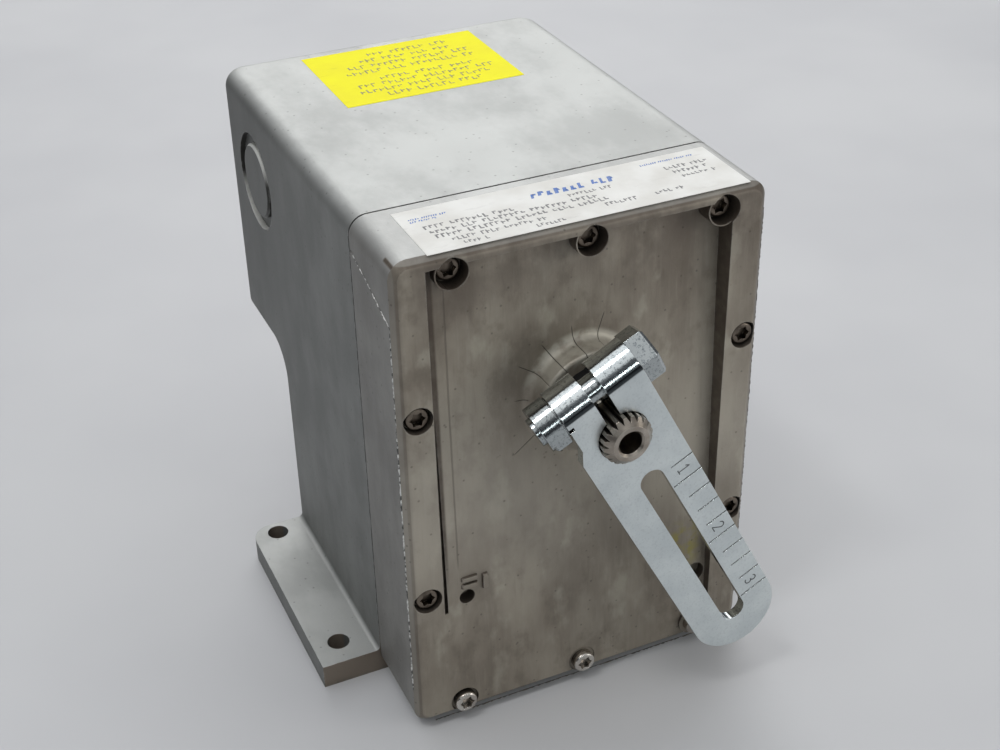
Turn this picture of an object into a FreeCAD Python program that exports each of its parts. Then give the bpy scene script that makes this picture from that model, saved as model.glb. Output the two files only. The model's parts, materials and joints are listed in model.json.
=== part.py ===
import FreeCAD, Part
import Sketcher

import math
import os
import re

from FreeCAD import Placement, Rotation, Vector

# Motorised actuator head: a cast rear housing on two feet, a cast gear case screwed to its
# front, and a serrated output shaft that carries a clamped crank arm with a slot.
# Frame: origin at the middle of the four foot holes on the resting plane, +X to the right
# as seen from the crank, +Y to the back, +Z up.  Every size is in millimetres.

SIZES = {
    # castings
    "body_width": 103, "body_height": 148, "wall": 3.5,
    "case_front": -66, "case_back": -38, "case_bottom": 2.3, "case_inside": -57.5,
    "gasket_depth": 0.6, "gasket_inset": 0.3, "sink": 1,
    "rear_upper": 74.5, "rear_lower": 36, "overhang_height": 68.5, "overhang_fillet": 9,
    "rear_corner": 7, "rear_low_corner": 3, "top_corner": 5, "low_corner": 4.5,
    "edge_round": 1, "front_chamfer": 2,
    # recessed front panel, which slopes a little down and to the left
    "recess_left": -41.7, "recess_right": 41, "recess_top": 144.5, "recess_depth": 3.5,
    "recess_pitch": 1.8, "recess_yaw": 2, "recess_sweep": 12,
    "groove_top": -42.7, "groove_foot": -41.8, "groove_width": 1.1, "groove_low": 39.6,
    "groove_depth": 2.2,
    # feet and their bolt holes
    "foot_reach": 17.6, "foot_depth": 7.6, "foot_back": 33.5, "foot_corner": 6.5,
    "foot_hole_x": 61.3, "foot_hole_y": 28.7, "foot_hole": 3.25, "foot_root": 1.6,
    # cover screws: three along the top, two down each side, three along the bottom
    "screw_x": 37, "top_screw_x": 37.3, "top_shift": 1.6, "top_screw_z": 142.2,
    "bottom_screw_z": 6.8,
    "side_screw_left": -46.3, "side_screw_right": 47, "side_screw_high": 103.6,
    "side_screw_low": 46,
    "head": 3.2, "head_depth": 2.6, "head_round": 0.7, "torx": 2.25, "torx_depth": 1.6,
    "shank": 2, "shank_hole": 2.15, "screw_length": 38, "screw_tip": 0.6,
    "top_seat": -60.3, "side_seat": -62.5, "bottom_seat": -65,
    "top_pocket": 4.25, "side_pocket": 3.9, "bottom_pocket": 4.1,
    "top_pad": 4.6, "pad_face": -65.4, "column": 4.4, "column_back": -20,
    # small features of the front panel
    "vent_x": -35, "vent_z": 43.2, "vent": 2.25, "vent_depth": 4.5,
    "pip_x": 37.5, "pip_z": 24, "pip": 3.3, "pip_depth": 2,
    # conduit knock-outs
    "knockout_y": 45.5, "knockout_z": 122.3, "knockout": 11.1, "knockout_ring": 14.5,
    "knockout_dish": 1.7, "knockout_sunk": 0.05, "knockout_skin": 3, "knockout_bevel": 0.6,
    # labels
    "label_skin": 0.08, "rating_left": -41.5, "rating_right": 46.5,
    "rating_front": -64.8, "rating_back": -41,
    "notice_left": -28, "notice_right": 26.5, "notice_front": 26, "notice_back": 67,
    # output shaft
    "shaft_height": 98, "shaft_front": -90.5, "serration_back": -73, "shaft_step": -49,
    "shaft_back": -10, "serration": 6.9, "serration_groove": 1.15, "serration_width": 1.2,
    "serration_count": 20, "journal": 8, "rear_journal": 5, "shaft_chamfer": 1.9,
    "shaft_bore": 3.2, "shaft_bore_depth": 14, "shaft_bore_chamfer": 0.6, "running_gap": 0.04,
    # bearing boss, bushes and seal
    "boss": 14.8, "boss_face": -69.6, "boss_flare": 2.4, "boss_round": 1, "boss_bore": 11,
    "seal_back": -66.3, "seal_front": -69.2, "rear_bush": 8, "rear_bush_flange": 10.5,
    "rear_bush_front": -38.9, "rear_bush_barrel": 9.5, "rear_bush_back": -33.9, "flange_depth": 1,
    # crank arm, in its own frame: along the arm from the shaft, across it, through it
    "arm_front": -86.5, "arm_depth": 3, "arm_half": 12.7, "arm_reach": 78.8,
    "arm_angle": 62.5, "slot_half": 3.55, "slot_near": 18.9, "slot_far": 78.4,
    "arm_hole": 7.1, "slit_half": 2.1, "neck_half": 10.8, "neck_start": 0, "neck_end": -4,
    "ear_along": -12.5, "ear": 6.9, "ear_hole": 4.1, "ear_left": 10.8,
    "relief_along": -11.4, "relief_across": 9.4,
    "mark_inner": 3.9, "mark_short": 5.9, "mark_half": 0.2, "mark_depth": 0.25,
    "mark_pitch": 6.35,
    # clamp bolt and nut
    "bolt": 3.97, "hex_corner": 7.33, "bolt_head": 5.4, "bolt_end": 17.6, "head_bevel": 0.7,
    "nut_depth": 5.2, "nut_face": 0.5, "nut_face_radius": 5.9, "nut_round": 6.45, "nut_bevel": 1.3,
    "hex_turn": 10,
    # gear train: three meshes between the motor and the output shaft
    "wheel_teeth": 56, "pinion_teeth": 14, "addendum": 0.8, "dedendum": 1.1,
    "pressure_angle": 20, "tooth_play": 0.1,
    "output_module": 1.25, "second_module": 0.9, "first_module": 0.7,
    "second_angle": -107, "first_angle": -20, "motor_angle": 204,
    "output_gear_front": -56, "output_gear_back": -50,
    "second_pinion_front": -56.5, "second_pinion_back": -48.5,
    "second_wheel_front": -48.5, "second_wheel_back": -45.5,
    "first_pinion_front": -49.2, "first_pinion_back": -44,
    "first_wheel_front": -44, "first_wheel_back": -41.5,
    "motor_pinion_front": -44.4, "motor_pinion_back": -41,
    "spindle": 2.5, "spindle_front": -58.5, "spindle_back": -35,
    "spindle_boss": 5, "spindle_boss_height": 0.5, "gear_spacer": 4, "spacer_play": 0.2,
    # gear plate and its posts
    "plate_front": -36.9, "plate_back": -34.9, "plate_half": 41.5, "plate_low": 11.5,
    "plate_high": 136.5, "post": 3.5, "post_x": 38, "post_low": 15.5, "post_high": 132,
    "pilot": 6.5, "small_shank": 1.5, "small_head": 2.8, "small_head_depth": 2,
    "small_grip": 8, "small_slot_half": 0.4, "small_slot_depth": 0.9,
    # motor
    "motor": 22, "bell_depth": 3, "stator_front": -26, "stator_back": -2,
    "motor_back": 6, "stator_bore": 12.2, "rotor": 11.9, "rotor_front": -25, "rotor_back": -3,
    "motor_shaft": 2.5, "motor_shaft_front": -44.6, "motor_shaft_back": 5,
    "motor_bearing": 5.5, "winding_inner": 13.6, "winding_outer": 18, "winding_end": 3,
    "winding_slot": 1.6, "tie_radius": 20, "tie_shank": 1.3, "tie_head": 1.9,
    "tie_head_depth": 1.2, "tie_column": 1.9, "bell_bore": 19.8,
    # limit cams, switches and feedback potentiometer
    "near_cam_front": -30, "far_cam_front": -22.5, "cam_depth": 4, "cam": 9.5, "cam_lobe": 13,
    "cam_lobe_half": 4, "near_cam_angle": -27.5, "far_cam_angle": 62.5,
    "ring_front": -33.4, "ring_depth": 1, "ring": 7.5,
    "switch_left": 15.5, "switch_right": 25.5, "switch_half": 10, "switch_depth": 6.4,
    "button_half": 1.2, "button_reach": 2.2, "button_bore": 3.5, "button_play": 1.2,
    "switch_stack_back": -17.3, "switch_screw_x": 22.5, "switch_screw_z": 7, "spacer": 2.8,
    "sensor_front": -0.5, "sensor_back": 1, "sensor_half": 30, "sensor_low": 72,
    "sensor_high": 124, "standoff": 3, "standoff_x": 25, "standoff_low": 78,
    "standoff_high": 118, "pot": 12, "pot_depth": 13, "pot_neck": 4.7, "pot_neck_front": -3,
    "pot_shaft": 3.1, "pot_shaft_front": -9.7, "pot_nut": 7, "pot_nut_depth": 1.8,
    "coupling": 7.5, "coupling_front": -16, "coupling_back": -4.5,
    # wiring compartment
    "block_half": 30, "block_front": 42, "block_back": 58, "block_height": 14,
    "barrier_half": 0.8, "barrier_height": 5, "terminal_count": 6, "terminal_pitch": 9.6,
    "terminal_screw": 2.6, "terminal_shank": 1.5, "terminal_screw_height": 2.4, "terminal_floor": 8,
    "ground_x": 40, "ground_y": 50, "ground_boss": 5, "ground_boss_height": 4,
    "ground_head": 3.6, "ground_head_height": 2.4,
    # run capacitor and its clip
    "capacitor": 10, "capacitor_half": 24, "capacitor_y": 21.4, "capacitor_z": 66,
    "cap_rim": 0.6, "clip_half": 6, "clip_skin": 0.8, "clip_low": 42, "clip_screw_z": 47,
    "clip_head": 2.8, "clip_head_depth": 1.8, "clip_grip": 3, "blind_floor": 1,
}

PLANES = {"XY": "XY_Plane", "XZ": "XZ_Plane", "YZ": "YZ_Plane"}
SCREW_ROWS = {
    "top": [("top_shift - top_screw_x", "top_screw_z"), ("top_shift", "top_screw_z"),
            ("top_shift + top_screw_x", "top_screw_z")],
    "side": [("side_screw_left", "side_screw_high"), ("side_screw_left", "side_screw_low"),
             ("side_screw_right", "side_screw_high"), ("side_screw_right", "side_screw_low")],
    "bottom": [("-screw_x", "bottom_screw_z"), ("0", "bottom_screw_z"),
               ("screw_x", "bottom_screw_z")],
}
ALL_SCREWS = SCREW_ROWS["top"] + SCREW_ROWS["side"] + SCREW_ROWS["bottom"]
CORNERS = [(1, 1), (1, -1), (-1, -1), (-1, 1)]
TURN = 2 * math.pi
TORX_POINTS = 6
TORX_WAIST = 0.72
FLANK_STEPS = 4
STATOR_SLOTS = 6
MARKS_PER_INCH = 4
FIRST_MARK = 3
LAST_MARK = 12

doc = FreeCAD.newDocument("actuator_head")
sheet = doc.addObject("Spreadsheet::Sheet", "sizes")
for row, (alias, number) in enumerate(SIZES.items(), start=1):
    sheet.set(f"A{row}", alias)
    sheet.set(f"B{row}", str(number))
    sheet.setAlias(f"B{row}", alias)
doc.recompute()

nodes = []


# ---------------------------------------------------------------- sizes and expressions

def linked(text):
    """Point every size named in an expression at its spreadsheet cell."""
    def cell(match):
        word = match.group()
        return f"sizes.{word}" if word in SIZES else word
    return re.sub(r"[a-z][a-z_]*", cell, str(text))


def value(text):
    """The number that an expression has now."""
    result = sheet.evalExpression(linked(text))
    return float(getattr(result, "Value", result))


def bind(item, prop, text):
    item.setExpression(prop, linked(text))


def place(item, x="0", y="0", z="0"):
    for axis, text in zip("xyz", (x, y, z)):
        bind(item, f"Placement.Base.{axis}", text)


def node(item, label):
    """Register an object as one sub-part of the actuator."""
    item.Label = label
    nodes.append(item)
    return item


# ---------------------------------------------------------------- sketch outlines

def polygon(*corners):
    def draw(sketch):
        first = sketch.GeometryCount
        spots = [Vector(value(x), value(y), 0) for x, y in corners]
        for i, spot in enumerate(spots):
            sketch.addGeometry(Part.LineSegment(spot, spots[(i + 1) % len(spots)]), False)
        for i, (x, y) in enumerate(corners):
            line = first + i
            after = first + (i + 1) % len(corners)
            join = Sketcher.Constraint("Coincident", line, 2, after, 1)
            sketch.addConstraint(join)
            pin_point(sketch, line, 1, x, y)
    return draw


def circle(x, y, radius):
    def draw(sketch):
        middle = Vector(value(x), value(y), 0)
        ring = sketch.addGeometry(Part.Circle(middle, Vector(0, 0, 1), value(radius)), False)
        pin_point(sketch, ring, 3, x, y)
        number = sketch.addConstraint(Sketcher.Constraint("Radius", ring, value(radius)))
        bind(sketch, f"Constraints[{number}]", radius)
    return draw


def rectangle(low_x, low_y, high_x, high_y):
    return polygon((low_x, low_y), (high_x, low_y), (high_x, high_y), (low_x, high_y))


def six_point_socket(radius):
    """A star outline about the sketch origin, waisted between its points."""
    corners = []
    for i in range(2 * TORX_POINTS):
        reach = radius if i % 2 == 0 else f"{TORX_WAIST} * {radius}"
        angle = f"{180 * i / TORX_POINTS} * 1deg"
        corners.append((f"{reach} * cos({angle})", f"{reach} * sin({angle})"))
    return polygon(*corners)


def hexagon(x, y, radius, lean):
    corners = []
    for i in range(6):
        angle = f"({60 * i} + {lean}) * 1deg"
        corners.append((f"{x} + {radius} * cos({angle})", f"{y} + {radius} * sin({angle})"))
    return polygon(*corners)


def pin_point(sketch, shape, end, x, y):
    """Hold one point of a sketch at its distance from the sketch origin."""
    for kind, text in (("DistanceX", x), ("DistanceY", y)):
        hold = Sketcher.Constraint(kind, -1, 1, shape, end, value(text))
        bind(sketch, f"Constraints[{sketch.addConstraint(hold)}]", text)


# ---------------------------------------------------------------- part design features

def new_body(label):
    return doc.addObject("PartDesign::Body", label)


def new_sketch(body, plane, offset, outlines):
    sketch = body.newObject("Sketcher::SketchObject", f"{body.Name}_outline")
    support = next(f for f in body.Origin.OriginFeatures if f.Role == PLANES[plane])
    sketch.AttachmentSupport = [(support, "")]
    sketch.MapMode = "FlatFace"
    bind(sketch, "AttachmentOffset.Base.z", offset)
    for draw in outlines:
        draw(sketch)
    return sketch


def extrude(kind, body, plane, low, high, outlines):
    """A pad or pocket between two heights over an origin plane."""
    start = f"-({high})" if plane == "XZ" else low
    feature = body.newObject(f"PartDesign::{kind}", f"{body.Name}_{kind.lower()}")
    feature.Profile = new_sketch(body, plane, start, outlines)
    bind(feature, "Length", f"({high}) - ({low})")
    if kind == "Pocket":
        feature.Reversed = True
    body.Tip = feature
    doc.recompute()
    return feature


def add(body, plane, low, high, *outlines):
    return extrude("Pad", body, plane, low, high, outlines)


def remove(body, plane, low, high, *outlines):
    before = body.Shape.Volume
    feature = extrude("Pocket", body, plane, low, high, outlines)
    if body.Shape.Volume > before - 1e-4:
        raise RuntimeError(f"a pocket of {body.Name} removes nothing")
    return feature


def turn(body, *profile):
    """Revolve a profile of (radius, along) corners about the body's own Y axis."""
    sketch = new_sketch(body, "XY", "0", [polygon(*profile)])
    feature = body.newObject("PartDesign::Revolution", f"{body.Name}_turned")
    feature.Profile = sketch
    feature.ReferenceAxis = (sketch, ["V_Axis"])
    feature.Angle = 360
    body.Tip = feature
    doc.recompute()
    return feature


def dress(kind, prop, body, size, spots):
    """A fillet or chamfer on the edges that pass nearest to the given points."""
    base = body.Tip
    names = set()
    for spot in spots:
        target = Part.Vertex(*[value(text) for text in spot])
        gaps = [edge.distToShape(target)[0] for edge in base.Shape.Edges]
        names.add(f"Edge{gaps.index(min(gaps)) + 1}")
    feature = body.newObject(f"PartDesign::{kind}", f"{body.Name}_{kind.lower()}")
    feature.Base = (base, sorted(names))
    bind(feature, prop, size)
    body.Tip = feature
    doc.recompute()
    if "Invalid" in feature.State:
        raise RuntimeError(f"the {kind.lower()} {size} of {body.Name} failed")


def fillet(body, size, *spots):
    dress("Fillet", "Radius", body, size, spots)


def chamfer(body, size, *spots):
    dress("Chamfer", "Size", body, size, spots)


def group(label, members):
    """Identical loose pieces that share one sub-part as separate solids."""
    bundle = doc.addObject("Part::Compound", label)
    bundle.Links = members
    doc.recompute()
    return node(bundle, label)


def shell_shape(label, shape, x="0", z="0"):
    """A sub-part whose outline comes from a formula, at a place on the front view."""
    item = doc.addObject("Part::Feature", label)
    item.Shape = shape
    item.Placement = Placement(Vector(value(x), 0, value(z)), Rotation())
    return node(item, label)


def ring_on_shaft(label, inner, outer, front, back, x="0", z="shaft_height"):
    body = new_body(label)
    turn(body, (inner, front), (outer, front), (outer, back), (inner, back))
    place(body, x, "0", z)
    return node(body, label)


# ---------------------------------------------------------------- castings

def screw_columns(body, low, high, hole):
    """Round columns along Y at every cover screw, each drilled through."""
    add(body, "XZ", low, high, *[circle(x, z, "column") for x, z in ALL_SCREWS])
    remove(body, "XZ", low, high, *[circle(x, z, hole) for x, z in ALL_SCREWS])


def sloping_recess(body):
    """The sunk front panel: its floor leans by two small angles about the shaft, and a
    narrow groove, which runs down its left edge, leans a little too."""
    floor = "case_front + recess_depth"
    recess = remove(body, "XZ", f"{floor} - recess_sweep", floor,
                    rectangle("recess_left", "-body_height", "recess_right",
                              "recess_top - shaft_height"))
    sketch = recess.Profile[0]
    lean = (Rotation(Vector(0, 1, 0), value("recess_yaw"))
            * Rotation(Vector(1, 0, 0), -value("recess_pitch")))
    sketch.AttachmentOffset = Placement(Vector(), lean)
    bind(sketch, "AttachmentOffset.Base.y", "shaft_height")
    bind(sketch, "AttachmentOffset.Base.z", f"-({floor})")
    doc.recompute()
    remove(body, "XZ", "boss_face", "case_front + groove_depth",
           polygon(("groove_foot", "groove_low"), ("groove_foot + groove_width", "groove_low"),
                   ("groove_top + groove_width", "recess_top"), ("groove_top", "recess_top")))


def front_gear_case():
    body = new_body("front_gear_case")
    half = "body_width / 2"
    middle = "(case_front + case_back) / 2"
    add(body, "XZ", "case_front", "case_back",
        rectangle(f"-{half}", "case_bottom", half, "body_height"))
    fillet(body, "top_corner", (f"-{half}", middle, "body_height"), (half, middle, "body_height"))
    fillet(body, "low_corner", (f"-{half}", middle, "case_bottom"), (half, middle, "case_bottom"))
    chamfer(body, "front_chamfer", (f"-{half}", "case_front", "shaft_height"),
            (half, "case_front", "shaft_height"))
    fillet(body, "edge_round", ("0", "case_front", "body_height"))
    sloping_recess(body)
    hollow = f"{half} - wall"
    remove(body, "XZ", "case_inside", "case_back",
           rectangle(f"-({hollow})", "case_bottom + wall", hollow, "body_height - wall"))
    add(body, "XZ", "pad_face", "case_inside",
        *[circle(x, z, "top_pad") for x, z in SCREW_ROWS["top"]])
    add(body, "XZ", "bottom_seat", "case_inside",
        *[circle(x, z, "column") for x, z in SCREW_ROWS["bottom"]])
    shaft_boss(body)
    screw_columns(body, "case_inside - sink", "case_back", "shank_hole")
    for row in SCREW_ROWS:
        remove(body, "XZ", "boss_face", f"{row}_seat",
               *[circle(x, z, f"{row}_pocket") for x, z in SCREW_ROWS[row]])
        remove(body, "XZ", f"{row}_seat", "case_inside",
               *[circle(x, z, "shank_hole") for x, z in SCREW_ROWS[row]])
    remove(body, "XZ", "boss_face", "case_front + vent_depth", circle("vent_x", "vent_z", "vent"))
    remove(body, "XZ", "boss_face", "case_front + recess_depth + pip_depth",
           circle("pip_x", "pip_z", "pip"))
    gear_supports(body)
    return node(body, "front_gear_case")


def shaft_boss(body):
    """A round boss around the shaft, flared where it meets the panel, and its stepped bore."""
    add(body, "XZ", "boss_face", "case_inside", circle("0", "shaft_height", "boss"))
    foot = "shaft_height - boss"
    fillet(body, "boss_flare", ("0", "case_front + recess_depth", foot))
    fillet(body, "boss_round", ("0", "boss_face", foot))
    remove(body, "XZ", "boss_face", "case_inside", circle("0", "shaft_height", "boss_bore"))


def gear_supports(body):
    """Posts for the gear plate and blind sockets for the two gear spindles."""
    add(body, "XZ", "case_inside - sink", "plate_front",
        *[circle(x, z, "post") for x, z in post_spots()])
    remove(body, "XZ", "plate_front - small_grip", "plate_front",
           *[circle(x, z, "small_shank") for x, z in post_spots()])
    add(body, "XZ", "case_inside - sink", "case_inside + spindle_boss_height",
        *[circle(x, z, "spindle_boss") for x, z in (SECOND_AXIS, FIRST_AXIS)])
    remove(body, "XZ", "spindle_front", "case_inside + spindle_boss_height",
           *[circle(x, z, "spindle") for x, z in (SECOND_AXIS, FIRST_AXIS)])


def post_spots():
    return [(side, height) for side in ("-post_x", "post_x")
            for height in ("post_low", "post_high")]


def rear_outline(step):
    """The stepped side outline of the rear housing, drawn in by a step."""
    front = "case_back + gasket_depth"
    return polygon((front, step), (f"rear_lower - {step}", step),
                   (f"rear_lower - {step}", f"overhang_height + {step}"),
                   (f"rear_upper - {step}", f"overhang_height + {step}"),
                   (f"rear_upper - {step}", f"body_height - {step}"),
                   (front, f"body_height - {step}"))


def rear_housing():
    body = new_body("rear_housing")
    half = "body_width / 2"
    middle_low = "overhang_height / 2"
    middle_high = "(overhang_height + body_height) / 2"
    add(body, "YZ", f"-{half}", half, rear_outline("0"))
    fillet(body, "overhang_fillet", ("0", "rear_lower", "overhang_height"))
    fillet(body, "rear_corner", *[(f"{side}{half}", "rear_upper", middle_high)
                                  for side in ("", "-")])
    fillet(body, "top_corner", ("0", "rear_upper", "body_height"))
    fillet(body, "rear_low_corner", ("0", "rear_upper", "overhang_height"),
           *[(f"{side}{half}", "rear_lower", middle_low) for side in ("", "-")])
    hollow = f"{half} - wall"
    remove(body, "YZ", f"-({hollow})", hollow, rear_outline("wall"))
    add_feet(body)
    screw_columns(body, "case_back + gasket_depth", "column_back", "shank")
    for side in ("-", ""):
        side_knockout(body, side)
    remove(body, "XZ", "rear_lower - wall", "rear_lower - blind_floor",
           circle("0", "clip_screw_z", "small_shank"))
    floor = "overhang_height + wall"
    add(body, "XY", f"{floor} - sink", f"{floor} + ground_boss_height",
        circle("ground_x", "ground_y", "ground_boss"))
    remove(body, "XY", floor, f"{floor} + ground_boss_height",
           circle("ground_x", "ground_y", "shank"))
    return node(body, "rear_housing")


def add_feet(body):
    """One flat foot along each side, with a bolt hole near each end."""
    inner = "body_width / 2 - wall / 2"
    outer = "body_width / 2 + foot_reach"
    front = "case_back + gasket_depth"
    for side in ("-", ""):
        add(body, "XY", "0", "foot_depth",
            polygon((f"{side}({inner})", front), (f"{side}({outer})", front),
                    (f"{side}({outer})", "foot_back"), (f"{side}({inner})", "foot_back")))
        fillet(body, "foot_corner", (f"{side}({outer})", "foot_back", "foot_depth / 2"))
        fillet(body, "foot_root", (f"{side}(body_width / 2)", "0", "foot_depth"))
    remove(body, "XY", "0", "foot_depth",
           *[circle(f"{x} * foot_hole_x", f"{y} * foot_hole_y", "foot_hole") for x, y in CORNERS])


def side_knockout(body, side):
    """A shallow ring with a through hole, which the knock-out plug fills."""
    outside = "body_width / 2"
    bands = (("knockout_ring", f"{outside} - knockout_dish", f"{outside} + sink"),
             ("knockout", f"{outside} - wall", outside))
    for radius, low, high in bands:
        edges = (low, high) if side == "" else (f"-({high})", f"-({low})")
        remove(body, "YZ", *edges, circle("knockout_y", "knockout_z", radius))


def knockout_plug(label, side):
    """A thin disc held in the side wall until a conduit needs the hole."""
    body = new_body(label)
    outer = "body_width / 2 - knockout_sunk"
    inner = f"{outer} - knockout_skin"
    edges = (inner, outer) if side == "" else (f"-({outer})", f"-({inner})")
    add(body, "YZ", *edges, circle("knockout_y", "knockout_z", "knockout"))
    chamfer(body, "knockout_bevel", (f"{side}({outer})", "knockout_y", "knockout_z + knockout"))
    return node(body, label)


def housing_gasket():
    """A flat ring between the two castings, with an eye at every cover screw."""
    body = new_body("housing_gasket")
    half = "body_width / 2 - gasket_inset"
    back = "case_back + gasket_depth"
    inner = "body_width / 2 - wall"
    add(body, "XZ", "case_back", back,
        rectangle(f"-({half})", "case_bottom + gasket_inset", half, "body_height - gasket_inset"))
    fillet(body, "top_corner", *[(f"{side}({half})", "case_back + gasket_depth / 2", height)
                                 for side in ("-", "")
                                 for height in ("case_bottom + gasket_inset",
                                                "body_height - gasket_inset")])
    remove(body, "XZ", "case_back", back,
           rectangle(f"-({inner})", "case_bottom + wall", inner, "body_height - wall"))
    screw_columns(body, "case_back", back, "shank_hole")
    return node(body, "housing_gasket")


def label_sheet(label, left, front, right, back):
    body = new_body(label)
    add(body, "XY", "body_height", "body_height + label_skin",
        rectangle(left, front, right, back))
    return node(body, label)


# ---------------------------------------------------------------- fasteners

def pan_screw(name, x, z, seat, sizes):
    """A round-headed screw along Y with a six-point socket, its head seated at a depth."""
    head, depth, shank, length = sizes
    body = new_body(name)
    turn(body, ("0", f"-{depth}"), (head, f"-{depth}"), (head, "0"), (shank, "0"),
         (shank, f"{length} - screw_tip"), (f"{shank} - screw_tip", length), ("0", length))
    fillet(body, "head_round", ("0", f"-{depth}", head))
    remove(body, "XZ", f"-{depth}", f"torx_depth - {depth}",
           six_point_socket("torx"))
    place(body, x, seat, z)
    return body


def slotted_screw(name, x, z, seat, sizes):
    """A small cheese-headed screw along Y, its head to the back, with a driving slot."""
    head, depth, shank, length = sizes
    body = new_body(name)
    turn(body, ("0", depth), (head, depth), (head, "0"), (shank, "0"),
         (shank, f"-({length})"), ("0", f"-({length})"))
    remove(body, "XZ", f"{depth} - small_slot_depth", depth,
           rectangle(f"-{head}", "-small_slot_half", head, "small_slot_half"))
    place(body, x, seat, z)
    return body


def cover_screws(row):
    sizes = ("head", "head_depth", "shank", "screw_length")
    return group(f"{row}_cover_screws",
                 [pan_screw(f"{row}_screw", x, z, f"{row}_seat", sizes)
                  for x, z in SCREW_ROWS[row]])


def gear_plate_screws():
    sizes = ("small_head", "small_head_depth", "small_shank", "small_grip")
    return group("gear_plate_screws",
                 [slotted_screw("plate_screw", x, z, "plate_back", sizes)
                  for x, z in post_spots()])


# ---------------------------------------------------------------- gear train

def gear_outline(module, teeth, phase, play, addendum, dedendum, pressure):
    """A closed wire of involute teeth in the XZ plane, one of them centred on phase."""
    pitch = module * teeth / 2
    base = pitch * math.cos(pressure)
    tip = pitch + module * addendum
    root = pitch - module * dedendum
    half_tooth = math.pi / (2 * teeth) - play / (2 * pitch)
    half_at_base = half_tooth + math.tan(pressure) - pressure
    start = max(base, root)

    def flank(radius):
        roll = math.acos(min(1, base / radius))
        return half_at_base - (math.tan(roll) - roll)

    def spot(radius, angle):
        return Vector(radius * math.cos(angle), 0, radius * math.sin(angle))

    radii = [start + (tip - start) * i / FLANK_STEPS for i in range(FLANK_STEPS + 1)]
    edges = []
    for tooth in range(teeth):
        centre = phase + tooth * TURN / teeth
        after = centre + TURN / teeth
        rising = [spot(r, centre - flank(r)) for r in radii]
        falling = [spot(r, centre + flank(r)) for r in reversed(radii)]
        foot = [spot(root, centre + side * flank(start)) for side in (-1, 1)]
        if start > root:
            edges.append(Part.LineSegment(foot[0], rising[0]).toShape())
            edges.append(Part.LineSegment(falling[-1], foot[1]).toShape())
        for side in (rising, falling):
            curve = Part.BSplineCurve()
            curve.interpolate(side)
            edges.append(curve.toShape())
        edges.append(Part.Arc(rising[-1], spot(tip, centre), falling[0]).toShape())
        gap = spot(root, (centre + after) / 2)
        edges.append(Part.Arc(foot[1], gap, spot(root, after - flank(start))).toShape())
    return Part.Wire(Part.__sortEdges__(edges))


def disc(radius, front, back):
    return Part.makeCylinder(radius, back - front, Vector(0, front, 0), Vector(0, 1, 0))


def gear(label, axis, teeth, module, phase, front, back, bore):
    """A toothed wheel on a Y axis, bored to run on or grip its shaft."""
    wire = gear_outline(value(module), int(value(teeth)), phase, value("tooth_play"),
                        value("addendum"), value("dedendum"),
                        math.radians(value("pressure_angle")))
    depth = value(back) - value(front)
    blank = Part.Face(wire).extrude(Vector(0, depth, 0))
    blank.translate(Vector(0, value(front), 0))
    return shell_shape(label, blank.cut(disc(value(bore), value(front), value(back))), *axis)


def meshed(axis, module, angle):
    """The axis of a gear that meshes with the one on a given axis, at an angle from it."""
    gap = f"{module} * (wheel_teeth + pinion_teeth) / 2"
    return (f"({axis[0]}) + {gap} * cos({angle} * 1deg)",
            f"({axis[1]}) + {gap} * sin({angle} * 1deg)")


def mesh_phase(phase, teeth, angle, other_teeth):
    """Where the driven gear's tooth points so that its gap faces the driver's tooth."""
    return angle + math.pi - math.pi / other_teeth + (angle - phase) * teeth / other_teeth


OUTPUT_AXIS = ("0", "shaft_height")
SECOND_AXIS = meshed(OUTPUT_AXIS, "output_module", "second_angle")
FIRST_AXIS = meshed(SECOND_AXIS, "second_module", "first_angle")
MOTOR_AXIS = meshed(FIRST_AXIS, "first_module", "motor_angle")


def gear_train():
    wheel = int(value("wheel_teeth"))
    pinion = int(value("pinion_teeth"))
    angles = {name: math.radians(value(f"{name}_angle")) for name in ("second", "first", "motor")}
    free = "spindle + running_gap"
    gear("output_gear", OUTPUT_AXIS, "wheel_teeth", "output_module", 0,
         "output_gear_front", "output_gear_back", "journal")
    phase = mesh_phase(0, wheel, angles["second"], pinion)
    gear("second_pinion", SECOND_AXIS, "pinion_teeth", "output_module", phase,
         "second_pinion_front", "second_pinion_back", free)
    gear("second_wheel", SECOND_AXIS, "wheel_teeth", "second_module", 0,
         "second_wheel_front", "second_wheel_back", free)
    phase = mesh_phase(0, wheel, angles["first"], pinion)
    gear("first_pinion", FIRST_AXIS, "pinion_teeth", "second_module", phase,
         "first_pinion_front", "first_pinion_back", free)
    gear("first_wheel", FIRST_AXIS, "wheel_teeth", "first_module", 0,
         "first_wheel_front", "first_wheel_back", free)
    phase = mesh_phase(0, wheel, angles["motor"], pinion)
    gear("motor_pinion", MOTOR_AXIS, "pinion_teeth", "first_module", phase,
         "motor_pinion_front", "motor_pinion_back", "motor_shaft")


def spindle(label, axis):
    body = new_body(label)
    add(body, "XZ", "spindle_front", "spindle_back", circle("0", "0", "spindle"))
    place(body, axis[0], "0", axis[1])
    return node(body, label)


def gear_spacers():
    """Plain tubes on the spindles that hold each gear pair in its own layer."""
    spans = ((SECOND_AXIS, "second_wheel_back + spacer_play", "plate_front"),
             (FIRST_AXIS, "first_wheel_back + spacer_play", "plate_front"),
             (FIRST_AXIS, "case_inside + spindle_boss_height", "first_pinion_front - spacer_play"))
    tubes = []
    for axis, front, back in spans:
        tube = new_body("gear_spacer")
        add(tube, "XZ", front, back, circle("0", "0", "gear_spacer"))
        remove(tube, "XZ", front, back, circle("0", "0", "spindle"))
        place(tube, axis[0], "0", axis[1])
        tubes.append(tube)
    return group("gear_spacers", tubes)


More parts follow.
